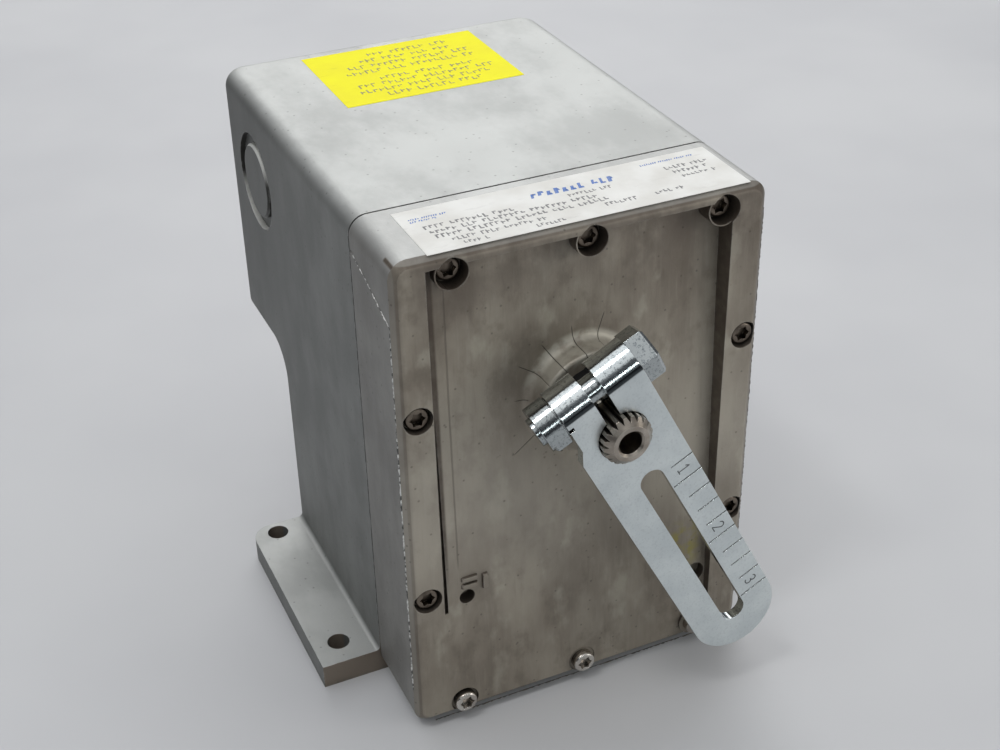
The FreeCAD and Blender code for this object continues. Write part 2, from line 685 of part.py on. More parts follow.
def gear_plate():
    body = new_body("gear_plate")
    add(body, "XZ", "plate_front", "plate_back",
        rectangle("-plate_half", "plate_low", "plate_half", "plate_high"))
    remove(body, "XZ", "plate_front", "plate_back",
           *[circle(x, z, "small_shank") for x, z in post_spots() + standoff_spots()],
           *[circle(x, z, "spindle") for x, z in (SECOND_AXIS, FIRST_AXIS)],
           *[circle("switch_screw_x", f"shaft_height + {side} * switch_screw_z", "small_shank")
             for side in (-1, 1)],
           *[circle(x, z, "tie_shank") for x, z in tie_spots()],
           circle(*OUTPUT_AXIS, "rear_bush"), circle(*MOTOR_AXIS, "pilot"))
    return node(body, "gear_plate")


# ---------------------------------------------------------------- output shaft

def output_shaft():
    body = new_body("output_shaft")
    turn(body, ("0", "shaft_front"), ("serration", "shaft_front"),
         ("serration", "serration_back"), ("journal", "serration_back"),
         ("journal", "shaft_step"), ("rear_journal", "shaft_step"),
         ("rear_journal", "shaft_back"), ("0", "shaft_back"))
    chamfer(body, "shaft_chamfer", ("0", "shaft_front", "serration"))
    remove(body, "XZ", "shaft_front", "shaft_front + shaft_bore_depth",
           circle("0", "0", "shaft_bore"))
    chamfer(body, "shaft_bore_chamfer", ("0", "shaft_front", "shaft_bore"))
    before = body.Shape.Volume
    groove = remove(body, "XZ", "shaft_front", "serration_back",
                    polygon(("serration - serration_groove", "0"),
                            ("serration + serration_groove", "serration_width"),
                            ("serration + serration_groove", "-serration_width")))
    pattern = body.newObject("PartDesign::PolarPattern", "serrations")
    pattern.Originals = [groove]
    pattern.Axis = (groove.Profile[0], ["N_Axis"])
    pattern.Angle = 360
    bind(pattern, "Occurrences", "serration_count")
    body.Tip = pattern
    doc.recompute()
    if body.Shape.Volume > before - value("serration_count"):
        raise RuntimeError("the serrations are missing")
    place(body, "0", "0", "shaft_height")
    return node(body, "output_shaft")


def crank_arm():
    """A flat arm with a long slot, split at the shaft hole and rolled into two ears."""
    body = new_body("crank_arm")
    back = "arm_front + arm_depth"
    add(body, "XZ", "arm_front", back,
        polygon(("ear_along", "arm_half"), ("arm_reach", "arm_half"),
                ("arm_reach", "-arm_half"), ("neck_start", "-arm_half"),
                ("neck_end", "-neck_half"), ("ear_along", "-neck_half")))
    add(body, "XZ", "arm_front", back, circle("arm_reach", "0", "arm_half"))
    add(body, "XY", "-ear_left", "arm_half", circle("ear_along", "arm_front + ear", "ear"))
    remove(body, "XY", "-arm_half", "arm_half", circle("ear_along", "arm_front + ear", "ear_hole"))
    remove(body, "XZ", "arm_front", "arm_front + 2 * ear", circle("0", "0", "arm_hole"))
    remove(body, "XZ", "arm_front", "arm_front + 2 * ear",
           rectangle("ear_along - ear", "-slit_half", "0", "slit_half"))
    remove(body, "XZ", "arm_front", back,
           rectangle("ear_along", "-arm_half", "relief_along", "-relief_across"))
    remove(body, "XZ", "arm_front", back,
           rectangle("slot_near", "-slot_half", "slot_far", "slot_half"))
    for end in ("slot_near", "slot_far"):
        remove(body, "XZ", "arm_front", back, circle(end, "0", "slot_half"))
    marks = []
    for step in range(FIRST_MARK, LAST_MARK + 1):
        inner = "mark_inner" if step % MARKS_PER_INCH == 0 else "mark_short"
        middle = f"{step} * mark_pitch"
        marks.append(rectangle(f"{middle} - mark_half", inner, f"{middle} + mark_half",
                               "arm_half + mark_half"))
    remove(body, "XZ", "arm_front", "arm_front + mark_depth", *marks)
    return on_arm(body, "crank_arm")


def on_arm(body, label):
    """Turn a piece drawn in the arm's own frame to where the arm points."""
    body.Placement = Placement(Vector(), Rotation(Vector(0, 1, 0), value("arm_angle")))
    place(body, "0", "0", "shaft_height")
    return node(body, label)


def around_clamp(radius, degrees):
    """A point about the clamp bolt's axis, in the arm's own frame."""
    angle = f"({degrees} + hex_turn) * 1deg"
    return (f"ear_along + {radius} * cos({angle})",
            f"arm_front + ear + {radius} * sin({angle})")


def clamp_bolt():
    """The clamp bolt lies across the arm, its hexagon head at the marked edge."""
    body = new_body("clamp_bolt")
    outer = "arm_half + bolt_head"
    add(body, "XY", "arm_half", outer,
        hexagon("ear_along", "arm_front + ear", "hex_corner", "hex_turn"))
    chamfer(body, "head_bevel", *[(*around_clamp("hex_corner * cos(30 * 1deg)", 60 * side + 30),
                                   outer) for side in range(6)])
    add(body, "XY", "-bolt_end", "arm_half", circle("ear_along", "arm_front + ear", "bolt"))
    return on_arm(body, "clamp_bolt")


def clamp_nut():
    """A round nut with a washer face and one wrench flat, which stands out in front."""
    body = new_body("clamp_nut")
    face = "ear_left + nut_face"
    outer = f"-({face} + nut_depth)"
    middle = ("ear_along", "arm_front + ear")
    add(body, "XY", outer, f"-({face})",
        polygon(middle, around_clamp("hex_corner * cos(30 * 1deg)", 270),
                around_clamp("hex_corner", 300)))
    chamfer(body, "nut_bevel", (*around_clamp("hex_corner * cos(30 * 1deg) / cos(15 * 1deg)", 285),
                                outer))
    add(body, "XY", outer, f"-({face})", circle(*middle, "nut_round"))
    add(body, "XY", f"-({face})", "-ear_left", circle(*middle, "nut_face_radius"))
    remove(body, "XY", outer, "-ear_left", circle(*middle, "bolt"))
    return on_arm(body, "clamp_nut")


def shaft_supports():
    run = "journal + running_gap"
    ring_on_shaft("shaft_seal", run, "boss_bore", "seal_front", "seal_back")
    ring_on_shaft("front_bearing", run, "boss_bore", "seal_back", "case_inside")
    body = new_body("rear_bearing")
    run = "rear_journal + running_gap"
    turn(body, (run, "rear_bush_front"), ("rear_bush_flange", "rear_bush_front"),
         ("rear_bush_flange", "rear_bush_front + flange_depth"),
         ("rear_bush_barrel", "rear_bush_front + flange_depth"),
         ("rear_bush_barrel", "plate_front"), ("rear_bush", "plate_front"),
         ("rear_bush", "rear_bush_back"), (run, "rear_bush_back"))
    place(body, "0", "0", "shaft_height")
    node(body, "rear_bearing")
    ring_on_shaft("retaining_ring", "rear_journal", "ring", "ring_front",
                  "ring_front + ring_depth")


def limit_cam(label, front, angle):
    """A round cam with one raised lobe, clamped on the back of the output shaft."""
    body = new_body(label)
    back = f"{front} + cam_depth"
    add(body, "XZ", front, back, circle("0", "0", "cam"))
    add(body, "XZ", front, back,
        rectangle("0", "-cam_lobe_half", "cam_lobe - cam_lobe_half", "cam_lobe_half"))
    add(body, "XZ", front, back, circle("cam_lobe - cam_lobe_half", "0", "cam_lobe_half"))
    remove(body, "XZ", front, back, circle("0", "0", "rear_journal"))
    body.Placement = Placement(Vector(), Rotation(Vector(0, 1, 0), value(angle)))
    place(body, "0", "0", "shaft_height")
    return node(body, label)


def limit_switch(label, front):
    """A snap switch beside its cam, with a pocket for the button."""
    body = new_body(label)
    middle = f"{front} + cam_depth / 2"
    low, high = f"{middle} - switch_depth / 2", f"{middle} + switch_depth / 2"
    add(body, "XZ", low, high,
        rectangle("switch_left", "shaft_height - switch_half", "switch_right",
                  "shaft_height + switch_half"))
    remove(body, "XZ", low, high,
           *[circle("switch_screw_x", f"shaft_height + {side} * switch_screw_z", "small_shank")
             for side in (-1, 1)])
    room = "(button_half + running_gap)"
    remove(body, "YZ", "switch_left", "switch_left + button_bore",
           rectangle(f"{middle} - {room}", f"shaft_height - ({room})",
                     f"{middle} + {room}", f"shaft_height + {room}"))
    return node(body, label)


def switch_button(label, front):
    body = new_body(label)
    middle = f"{front} + cam_depth / 2"
    add(body, "YZ", "switch_left - button_reach", "switch_left + button_bore - button_play",
        rectangle(f"{middle} - button_half", "shaft_height - button_half",
                  f"{middle} + button_half", "shaft_height + button_half"))
    return node(body, label)


def switch_screws():
    """Two long screws that hold both switches to the gear plate."""
    length = "switch_stack_back - plate_front"
    sizes = ("small_head", "small_head_depth", "small_shank", length)
    return group("switch_screws",
                 [slotted_screw("switch_screw", "switch_screw_x",
                                f"shaft_height + {side} * switch_screw_z",
                                "switch_stack_back", sizes) for side in (-1, 1)])


def switch_spacers():
    """Tubes on the switch screws, between the gear plate and the switches."""
    tubes = []
    spans = (("plate_back", "near_cam_front + cam_depth / 2 - switch_depth / 2"),
             ("near_cam_front + cam_depth / 2 + switch_depth / 2",
              "far_cam_front + cam_depth / 2 - switch_depth / 2"))
    for front, back in spans:
        for side in (-1, 1):
            tube = new_body("switch_spacer")
            add(tube, "XZ", front, back, circle("0", "0", "spacer"))
            remove(tube, "XZ", front, back, circle("0", "0", "small_shank"))
            place(tube, "switch_screw_x", "0", f"shaft_height + {side} * switch_screw_z")
            tubes.append(tube)
    return group("switch_spacers", tubes)


# ---------------------------------------------------------------- feedback potentiometer

def standoff_spots():
    return [(side, height) for side in ("-standoff_x", "standoff_x")
            for height in ("standoff_low", "standoff_high")]


def sensor_mount():
    body = new_body("sensor_plate")
    add(body, "XZ", "sensor_front", "sensor_back",
        rectangle("-sensor_half", "sensor_low", "sensor_half", "sensor_high"))
    remove(body, "XZ", "sensor_front", "sensor_back", circle(*OUTPUT_AXIS, "pot_neck"),
           *[circle(x, z, "small_shank") for x, z in standoff_spots()])
    node(body, "sensor_plate")
    posts = []
    for x, z in standoff_spots():
        post = new_body("standoff")
        add(post, "XZ", "plate_back", "sensor_front", hexagon("0", "0", "standoff", "0"))
        remove(post, "XZ", "sensor_front - small_grip", "sensor_front",
               circle("0", "0", "small_shank"))
        place(post, x, "0", z)
        posts.append(post)
    group("sensor_standoffs", posts)
    sizes = ("small_head", "small_head_depth", "small_shank", "small_grip")
    group("sensor_plate_screws",
          [slotted_screw("sensor_screw", x, z, "sensor_back", sizes)
           for x, z in standoff_spots()])


def feedback_potentiometer():
    body = new_body("feedback_potentiometer")
    run = "pot_shaft + running_gap"
    turn(body, (run, "pot_neck_front"), ("pot_neck", "pot_neck_front"),
         ("pot_neck", "sensor_back"), ("pot", "sensor_back"),
         ("pot", "sensor_back + pot_depth"), ("0", "sensor_back + pot_depth"),
         ("0", "sensor_back + pot_depth - wall"), (run, "sensor_back + pot_depth - wall"))
    place(body, "0", "0", "shaft_height")
    node(body, "feedback_potentiometer")
    nut = new_body("potentiometer_nut")
    face = "sensor_front - pot_nut_depth"
    add(nut, "XZ", face, "sensor_front", hexagon("0", "0", "pot_nut", "0"))
    remove(nut, "XZ", face, "sensor_front", circle("0", "0", "pot_neck"))
    place(nut, "0", "0", "shaft_height")
    node(nut, "potentiometer_nut")
    rotor = new_body("potentiometer_shaft")
    add(rotor, "XZ", "pot_shaft_front", "sensor_back + pot_depth - wall - button_play",
        circle("0", "0", "pot_shaft"))
    place(rotor, "0", "0", "shaft_height")
    node(rotor, "potentiometer_shaft")
    sleeve = new_body("shaft_coupling")
    turn(sleeve, ("rear_journal", "coupling_front"), ("coupling", "coupling_front"),
         ("coupling", "coupling_back"), ("pot_shaft", "coupling_back"),
         ("pot_shaft", "shaft_back"), ("rear_journal", "shaft_back"))
    place(sleeve, "0", "0", "shaft_height")
    node(sleeve, "shaft_coupling")


# ---------------------------------------------------------------- motor

def tie_spots():
    """Four through-screws around the motor axis."""
    spots = []
    for quarter in range(4):
        angle = f"{45 + 90 * quarter} * 1deg"
        spots.append((f"{MOTOR_AXIS[0]} + tie_radius * cos({angle})",
                      f"{MOTOR_AXIS[1]} + tie_radius * sin({angle})"))
    return spots


def slot_spots():
    spots = []
    for slot in range(STATOR_SLOTS):
        angle = f"{360 * slot / STATOR_SLOTS} * 1deg"
        middle = "(winding_inner + winding_outer) / 2"
        spots.append((f"{MOTOR_AXIS[0]} + {middle} * cos({angle})",
                      f"{MOTOR_AXIS[1]} + {middle} * sin({angle})"))
    return spots


def motor_bell(label, wall, skirt):
    """An end cap of the motor: a flat wall with a bearing hole and a short skirt."""
    body = new_body(label)
    for span in (wall, skirt):
        add(body, "XZ", *span, circle(*MOTOR_AXIS, "motor"))
    remove(body, "XZ", *skirt, circle(*MOTOR_AXIS, "bell_bore"))
    remove(body, "XZ", *wall, circle(*MOTOR_AXIS, "motor_bearing"))
    add(body, "XZ", *skirt, *[circle(x, z, "tie_column") for x, z in tie_spots()])
    for span in (wall, skirt):
        remove(body, "XZ", *span, *[circle(x, z, "tie_shank") for x, z in tie_spots()])
    return node(body, label)


def motor():
    back_wall = "motor_back - bell_depth"
    front_wall = "plate_back + bell_depth"
    motor_bell("motor_front_bell", ("plate_back", front_wall), (front_wall, "stator_front"))
    motor_bell("motor_rear_bell", (back_wall, "motor_back"), ("stator_back", back_wall))
    stator = new_body("motor_stator")
    add(stator, "XZ", "stator_front", "stator_back", circle(*MOTOR_AXIS, "motor"))
    remove(stator, "XZ", "stator_front", "stator_back", circle(*MOTOR_AXIS, "stator_bore"),
           *[circle(x, z, "winding_slot") for x, z in slot_spots()],
           *[circle(x, z, "tie_shank") for x, z in tie_spots()])
    node(stator, "motor_stator")
    winding = new_body("motor_winding")
    add(winding, "XZ", "stator_front", "stator_back",
        *[circle(x, z, "winding_slot") for x, z in slot_spots()])
    for front, back in (("stator_front - winding_end", "stator_front"),
                        ("stator_back", "stator_back + winding_end")):
        add(winding, "XZ", front, back, circle(*MOTOR_AXIS, "winding_outer"))
        remove(winding, "XZ", front, back, circle(*MOTOR_AXIS, "winding_inner"))
    node(winding, "motor_winding")
    rotor = new_body("motor_rotor")
    add(rotor, "XZ", "rotor_front", "rotor_back", circle("0", "0", "rotor"))
    remove(rotor, "XZ", "rotor_front", "rotor_back", circle("0", "0", "motor_shaft"))
    place(rotor, MOTOR_AXIS[0], "0", MOTOR_AXIS[1])
    node(rotor, "motor_rotor")
    shaft = new_body("motor_shaft")
    add(shaft, "XZ", "motor_shaft_front", "motor_shaft_back", circle("0", "0", "motor_shaft"))
    place(shaft, MOTOR_AXIS[0], "0", MOTOR_AXIS[1])
    node(shaft, "motor_shaft")
    bearings = []
    for front in ("plate_back", back_wall):
        bearing = new_body("motor_bearing")
        back = f"{front} + bell_depth"
        add(bearing, "XZ", front, back, circle("0", "0", "motor_bearing"))
        remove(bearing, "XZ", front, back, circle("0", "0", "motor_shaft + running_gap"))
        place(bearing, MOTOR_AXIS[0], "0", MOTOR_AXIS[1])
        bearings.append(bearing)
    group("motor_bearings", bearings)
    sizes = ("tie_head", "tie_head_depth", "tie_shank", "motor_back - plate_front")
    group("motor_screws",
          [slotted_screw("motor_screw", x, z, "motor_back", sizes) for x, z in tie_spots()])


# ---------------------------------------------------------------- wiring and capacitor

def terminal_spots():
    return [f"({index} - (terminal_count - 1) / 2) * terminal_pitch"
            for index in range(int(value("terminal_count")))]


def wiring():
    floor = "overhang_height + wall"
    block = new_body("terminal_block")
    top = f"{floor} + block_height"
    add(block, "XY", floor, top,
        rectangle("-block_half", "block_front", "block_half", "block_back"))
    fences = [f"({x}) + {side} * terminal_pitch / 2" for x in terminal_spots() for side in (-1, 1)]
    walls = [fences[0]] + fences[1::2]
    add(block, "XY", top, f"{top} + barrier_height",
        *[rectangle(f"{x} - barrier_half", "block_front", f"{x} + barrier_half", "block_back")
          for x in walls])
    middle = "(block_front + block_back) / 2"
    remove(block, "XY", f"{floor} + terminal_floor", top,
           *[circle(x, middle, "terminal_shank") for x in terminal_spots()])
    node(block, "terminal_block")
    screws = []
    for x in terminal_spots():
        screw = new_body("terminal_screw")
        add(screw, "XY", top, f"{top} + terminal_screw_height", circle("0", "0", "terminal_screw"))
        add(screw, "XY", f"{floor} + terminal_floor", top, circle("0", "0", "terminal_shank"))
        slot = "small_slot_half"
        remove(screw, "XY", f"{top} + terminal_screw_height - small_slot_depth",
               f"{top} + terminal_screw_height",
               rectangle("-terminal_screw", f"-{slot}", "terminal_screw", slot))
        place(screw, x, middle, "0")
        screws.append(screw)
    group("terminal_screws", screws)
    boss_top = f"{floor} + ground_boss_height"
    ground = new_body("ground_screw")
    add(ground, "XY", boss_top, f"{boss_top} + ground_head_height",
        circle("ground_x", "ground_y", "ground_head"))
    add(ground, "XY", floor, boss_top, circle("ground_x", "ground_y", "shank"))
    node(ground, "ground_screw")


def run_capacitor():
    can = new_body("run_capacitor")
    add(can, "YZ", "-capacitor_half", "capacitor_half",
        circle("capacitor_y", "capacitor_z", "capacitor"))
    for side in ("-", ""):
        fillet(can, "cap_rim", (f"{side}capacitor_half", "capacitor_y", "capacitor_z + capacitor"))
    node(can, "run_capacitor")
    clip = new_body("capacitor_clip")
    rim = "capacitor + clip_skin"
    add(clip, "YZ", "-clip_half", "clip_half", circle("capacitor_y", "capacitor_z", rim))
    plate_rear = "rear_lower - wall"
    add(clip, "YZ", "-clip_half", "clip_half",
        rectangle(f"{plate_rear} - clip_skin", "clip_low", plate_rear, "capacitor_z"))
    remove(clip, "YZ", "-clip_half", "clip_half",
           circle("capacitor_y", "capacitor_z", "capacitor"))
    remove(clip, "XZ", f"{plate_rear} - clip_skin", plate_rear,
           circle("0", "clip_screw_z", "small_shank"))
    node(clip, "capacitor_clip")
    screw = new_body("clip_screw")
    turn(screw, ("0", "-clip_head_depth"), ("clip_head", "-clip_head_depth"), ("clip_head", "0"),
         ("small_shank", "0"), ("small_shank", "clip_grip"), ("0", "clip_grip"))
    place(screw, "0", f"{plate_rear} - clip_skin", "clip_screw_z")
    node(screw, "clip_screw")


# ---------------------------------------------------------------- assembly

def build():
    front_gear_case()
    rear_housing()
    housing_gasket()
    for row in SCREW_ROWS:
        cover_screws(row)
    knockout_plug("left_knockout_plug", "-")
    knockout_plug("right_knockout_plug", "")
    label_sheet("rating_label", "rating_left", "rating_front", "rating_right", "rating_back")
    label_sheet("yellow_label", "notice_left", "notice_front", "notice_right", "notice_back")
    output_shaft()
    crank_arm()
    clamp_bolt()
    clamp_nut()
    shaft_supports()
    gear_train()
    spindle("second_spindle", SECOND_AXIS)
    spindle("first_spindle", FIRST_AXIS)
    gear_spacers()
    gear_plate()
    gear_plate_screws()
    limit_cam("near_limit_cam", "near_cam_front", "near_cam_angle")
    limit_cam("far_limit_cam", "far_cam_front", "far_cam_angle")
    limit_switch("near_limit_switch", "near_cam_front")
    limit_switch("far_limit_switch", "far_cam_front")
    switch_button("near_switch_button", "near_cam_front")
    switch_button("far_switch_button", "far_cam_front")
    switch_screws()
    switch_spacers()
    sensor_mount()
    feedback_potentiometer()
    motor()
    wiring()
    run_capacitor()


def check_and_export():
    doc.recompute()
    for item in doc.Objects:
        if {"Invalid", "Error"} & set(item.State):
            raise RuntimeError(f"{item.Name} failed: {item.State}")
    for item in nodes:
        if item.Shape.isNull() or not item.Shape.isValid():
            raise RuntimeError(f"{item.Label} has no valid shape")
    os.makedirs("parts", exist_ok=True)
    for item in nodes:
        item.Shape.exportStep(f"parts/{item.Label}.step")
        print(f"{item.Label}: {item.Shape.Volume:.0f} mm3 in {len(item.Shape.Solids)} solid(s)")


build()
check_and_export()
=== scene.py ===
import json
import math
import random

import bpy
from mathutils import Matrix, Vector


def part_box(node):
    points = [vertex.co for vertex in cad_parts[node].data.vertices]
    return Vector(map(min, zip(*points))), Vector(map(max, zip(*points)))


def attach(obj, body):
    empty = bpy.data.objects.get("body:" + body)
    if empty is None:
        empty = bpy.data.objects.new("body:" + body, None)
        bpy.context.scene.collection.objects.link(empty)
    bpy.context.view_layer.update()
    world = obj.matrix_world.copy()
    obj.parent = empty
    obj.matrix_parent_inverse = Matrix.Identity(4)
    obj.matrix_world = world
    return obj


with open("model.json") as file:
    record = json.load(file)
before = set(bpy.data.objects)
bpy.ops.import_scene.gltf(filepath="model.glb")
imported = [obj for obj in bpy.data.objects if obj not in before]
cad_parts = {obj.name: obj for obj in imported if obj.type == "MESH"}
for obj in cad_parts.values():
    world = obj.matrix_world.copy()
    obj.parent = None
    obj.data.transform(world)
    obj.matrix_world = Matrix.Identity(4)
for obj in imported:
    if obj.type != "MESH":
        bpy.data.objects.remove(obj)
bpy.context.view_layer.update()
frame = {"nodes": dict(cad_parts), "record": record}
nodes = frame["nodes"]

MM = 0.001

# Sizes of the actuator in millimetres, in the row frame, that the looks refer to.
SHAFT_Z = 98.0
ARM_ANGLE = math.radians(62.5)
ARM_FRONT = -86.5
CASE_FRONT = -66
KNOCKOUT = sum(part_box("left_knockout_plug"), Vector()) / 2 / MM
LABEL_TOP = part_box("rating_label")[1].z / MM


# ---------------------------------------------------------------- material shorthand

class Graph:
    """One material's node tree, with the object's own millimetres as coordinates."""

    def __init__(self, name):
        self.material = bpy.data.materials.new(name)
        self.material.use_nodes = True
        self.tree = self.material.node_tree
        self.tree.nodes.clear()
        coords = self.add("ShaderNodeTexCoord")
        self.normal = coords.outputs["Normal"]
        self.point = self.vector("MULTIPLY", coords.outputs["Object"], (1000, 1000, 1000))
        self.x, self.y, self.z = self.split(self.point)

    def add(self, kind, **properties):
        item = self.tree.nodes.new(kind)
        for name, value in properties.items():
            setattr(item, name, value)
        return item

    def put(self, socket, value):
        if isinstance(value, bpy.types.NodeSocket):
            self.tree.links.new(value, socket)
        elif hasattr(value, "__len__") and len(value) == 3 and len(socket.default_value) == 4:
            socket.default_value = (*value, 1)
        else:
            socket.default_value = value

    def split(self, vector):
        item = self.add("ShaderNodeSeparateXYZ")
        self.put(item.inputs[0], vector)
        return item.outputs

    def join(self, x, y, z):
        item = self.add("ShaderNodeCombineXYZ")
        for socket, value in zip(item.inputs, (x, y, z)):
            self.put(socket, value)
        return item.outputs[0]

    def vector(self, operation, a, b):
        item = self.add("ShaderNodeVectorMath", operation=operation)
        self.put(item.inputs[0], a)
        self.put(item.inputs[1], b)
        return item.outputs["Value" if operation in ("DOT_PRODUCT", "LENGTH") else "Vector"]

    def math(self, operation, a, b=0.0, c=0.0, clamp=False):
        item = self.add("ShaderNodeMath", operation=operation, use_clamp=clamp)
        for socket, value in zip(item.inputs, (a, b, c)):
            self.put(socket, value)
        return item.outputs[0]

    def times(self, *values):
        result = values[0]
        for value in values[1:]:
            result = self.math("MULTIPLY", result, value)
        return result

    def plus(self, *values):
        result = values[0]
        for value in values[1:]:
            result = self.math("ADD", result, value)
        return result

    def rise(self, value, low, high):
        """0 below low and 1 above high, smooth between; low may be the greater."""
        item = self.add("ShaderNodeMapRange", interpolation_type="SMOOTHSTEP")
        for socket, number in zip(item.inputs, (value, low, high, 0.0, 1.0)):
            self.put(socket, number)
        return item.outputs[0]

    def between(self, value, low, high, soft):
        return self.times(self.rise(value, low - soft, low + soft),
                          self.rise(value, high + soft, high - soft))

    def distance(self, a, b):
        """The length of the two sides a and b taken together."""
        return self.math("SQRT", self.plus(self.times(a, a), self.times(b, b)))

    def from_shaft(self):
        """How far above the shaft's axis a point is, and its distance from that axis."""
        above = self.math("SUBTRACT", self.z, SHAFT_Z)
        return above, self.distance(self.x, above)

    def facing_front(self, low, high):
        """1 on faces that look towards -Y, 0 on the others."""
        return self.rise(self.math("MULTIPLY", self.split(self.normal)[1], -1.0), low, high)

    def noise(self, size, stretch=(1, 1, 1), detail=4.0, rough=0.55, shift=0.0, at=None):
        """Cloudy noise whose features are about this many millimetres wide."""
        item = self.add("ShaderNodeTexNoise")
        spread = self.vector("MULTIPLY", at or self.point, tuple(1 / s for s in stretch))
        self.put(item.inputs["Vector"], self.vector("ADD", spread, (shift, shift, shift)))
        self.put(item.inputs["Scale"], 1 / size)
        self.put(item.inputs["Detail"], detail)
        self.put(item.inputs["Roughness"], rough)
        return item.outputs[0]

    def cells(self, size, shift=0.0):
        """Distance to the nearest scattered point, in cell widths."""
        item = self.add("ShaderNodeTexVoronoi")
        self.put(item.inputs["Vector"], self.vector("ADD", self.point, (shift, shift, shift)))
        self.put(item.inputs["Scale"], 1 / size)
        return item.outputs["Distance"]

    def mix(self, share, a, b, mode="MIX"):
        item = self.add("ShaderNodeMix", data_type="RGBA", blend_type=mode)
        self.put(item.inputs[0], share)
        self.put(item.inputs[6], a)
        self.put(item.inputs[7], b)
        return item.outputs[2]

    def crevices(self, reach):
        """1 in tight corners and 0 in the open."""
        item = self.add("ShaderNodeAmbientOcclusion", samples=6)
        self.put(item.inputs["Distance"], reach * MM)
        return self.math("SUBTRACT", 1.0, item.outputs["AO"])

    def soft_normal(self, radius):
        item = self.add("ShaderNodeBevel", samples=4)
        self.put(item.inputs["Radius"], radius * MM)
        return item.outputs[0]

    def edges(self, radius):
        """1 along sharp edges: edges that handling rubs bright, and edges given a painted highlight.
        """
        flat = self.add("ShaderNodeNewGeometry").outputs["Normal"]
        bend = self.vector("DOT_PRODUCT", self.soft_normal(radius), flat)
        return self.rise(bend, 0.995, 0.90)

    def surface(self, color, roughness, metallic, height=None, depth=0.1, bevel=0.0,
                specular=0.5):
        """The shader; height is in units of depth millimetres."""
        shader = self.add("ShaderNodeBsdfPrincipled")
        self.put(shader.inputs["Base Color"], color)
        self.put(shader.inputs["Roughness"], roughness)
        self.put(shader.inputs["Metallic"], metallic)
        shader.inputs["Specular IOR Level"].default_value = specular
        smooth = self.soft_normal(bevel) if bevel else None
        if height is not None:
            bump = self.add("ShaderNodeBump")
            self.put(bump.inputs["Height"], height)
            self.put(bump.inputs["Distance"], depth * MM)
            self.put(bump.inputs["Strength"], 1.0)
            if smooth:
                self.put(bump.inputs["Normal"], smooth)
            smooth = bump.outputs[0]
        if smooth:
            self.put(shader.inputs["Normal"], smooth)
        output = self.add("ShaderNodeOutputMaterial")
        self.tree.links.new(shader.outputs[0], output.inputs[0])
        return self.material


# ---------------------------------------------------------------- materials

def cast_aluminium(name, light, dark, top, grime_and_shade, wear=0.5, stained_front=False):
    """Aged die-cast aluminium: cloudy tone, fine grain, smears, worn edges, and soiling and
    painted shade in corners.

    Upward faces carry a painted highlight: they are painted paler than the walls, as if lit
    from above, and paler still higher up."""
    g = Graph(name)
    cloud = g.noise(22, detail=5, rough=0.6)
    smear = g.noise(9, stretch=(1, 1, 3.2), detail=4, shift=31)
    grain = g.noise(0.55, detail=2, rough=0.7)
    tone = g.plus(g.times(cloud, 0.62), g.times(smear, 0.38))
    color = g.mix(g.rise(tone, 0.34, 0.66), dark, light)
    # Painted highlight: faces that look up are painted paler, standing in for light from above.
    upward = g.times(g.rise(g.split(g.normal)[2], 0.25, 0.95),
                     g.plus(0.88, g.times(g.rise(g.z, 10, 60), 0.12)))
    top_mottle = g.noise(26, stretch=(1, 1.6, 1), detail=5, rough=0.62, shift=44)
    painted_top_light = g.mix(g.rise(top_mottle, 0.36, 0.60), tuple(0.80 * c for c in top), top)
    color = g.mix(upward, color, painted_top_light)
    specks = g.rise(g.cells(3.4, shift=7), 0.13, 0.05)
    height = g.plus(g.times(grain, 0.5), g.times(g.noise(3.2, detail=3, shift=11), 0.7),
                    g.times(cloud, 1.6), g.times(specks, -0.35))
    # Soiling and painted shade: corners and hollows darkened through an ambient-occlusion mask.
    dirt_and_shade = g.rise(g.crevices(5), 0.30, 0.85)
    front = g.facing_front(0.55, 0.85)
    if stained_front:
        color, height = stain_front(g, color, height, front, grain)
    else:
        # Painted shade: side walls darkened towards the rear and the top.
        painted_rear_shade = g.times(g.rise(g.y, -20, 50), g.rise(g.z, 30, 110),
                         g.math("SUBTRACT", 1.0, upward))
        color = g.mix(g.times(painted_rear_shade, 0.55), color, tuple(0.45 * c for c in light))
        foot = g.times(front, g.rise(g.z, 20, 12))
        color = g.mix(g.times(foot, 0.8), color, (0.27, 0.215, 0.165))
        color = paint_knockout_light_and_shade(g, color)
    color = g.mix(g.times(specks, 0.4), color, grime_and_shade)
    color = g.mix(g.times(dirt_and_shade, g.rise(g.noise(4, shift=3), 0.2, 0.7), 0.8), color, grime_and_shade)
    worn = g.times(g.edges(0.6), g.rise(g.noise(2.6, detail=3, shift=17), 0.40, 0.62))
    color = g.mix(g.times(worn, wear), color, (0.70, 0.70, 0.68))
    roughness = g.plus(0.44, g.times(cloud, 0.18), g.times(grain, 0.1), g.times(upward, -0.04))
    return g.surface(color, roughness, 0.55, height, depth=0.06, bevel=0.3)


def paint_knockout_light_and_shade(g, color):
    """The dished ring around a conduit knock-out, painted: a black painted shadow where its walls
    look to the front, and a painted highlight where they look up."""
    radius = g.distance(g.math("SUBTRACT", g.y, KNOCKOUT.y), g.math("SUBTRACT", g.z, KNOCKOUT.z))
    ring = g.between(radius, 10.2, 14.8, 0.25)
    color = g.mix(g.times(ring, g.facing_front(0.3, 0.7), 0.9), color, (0.035, 0.034, 0.030))
    upward = g.rise(g.split(g.normal)[2], 0.12, 0.5)
    return g.mix(g.times(ring, upward, 0.85), color, (0.80, 0.80, 0.76))


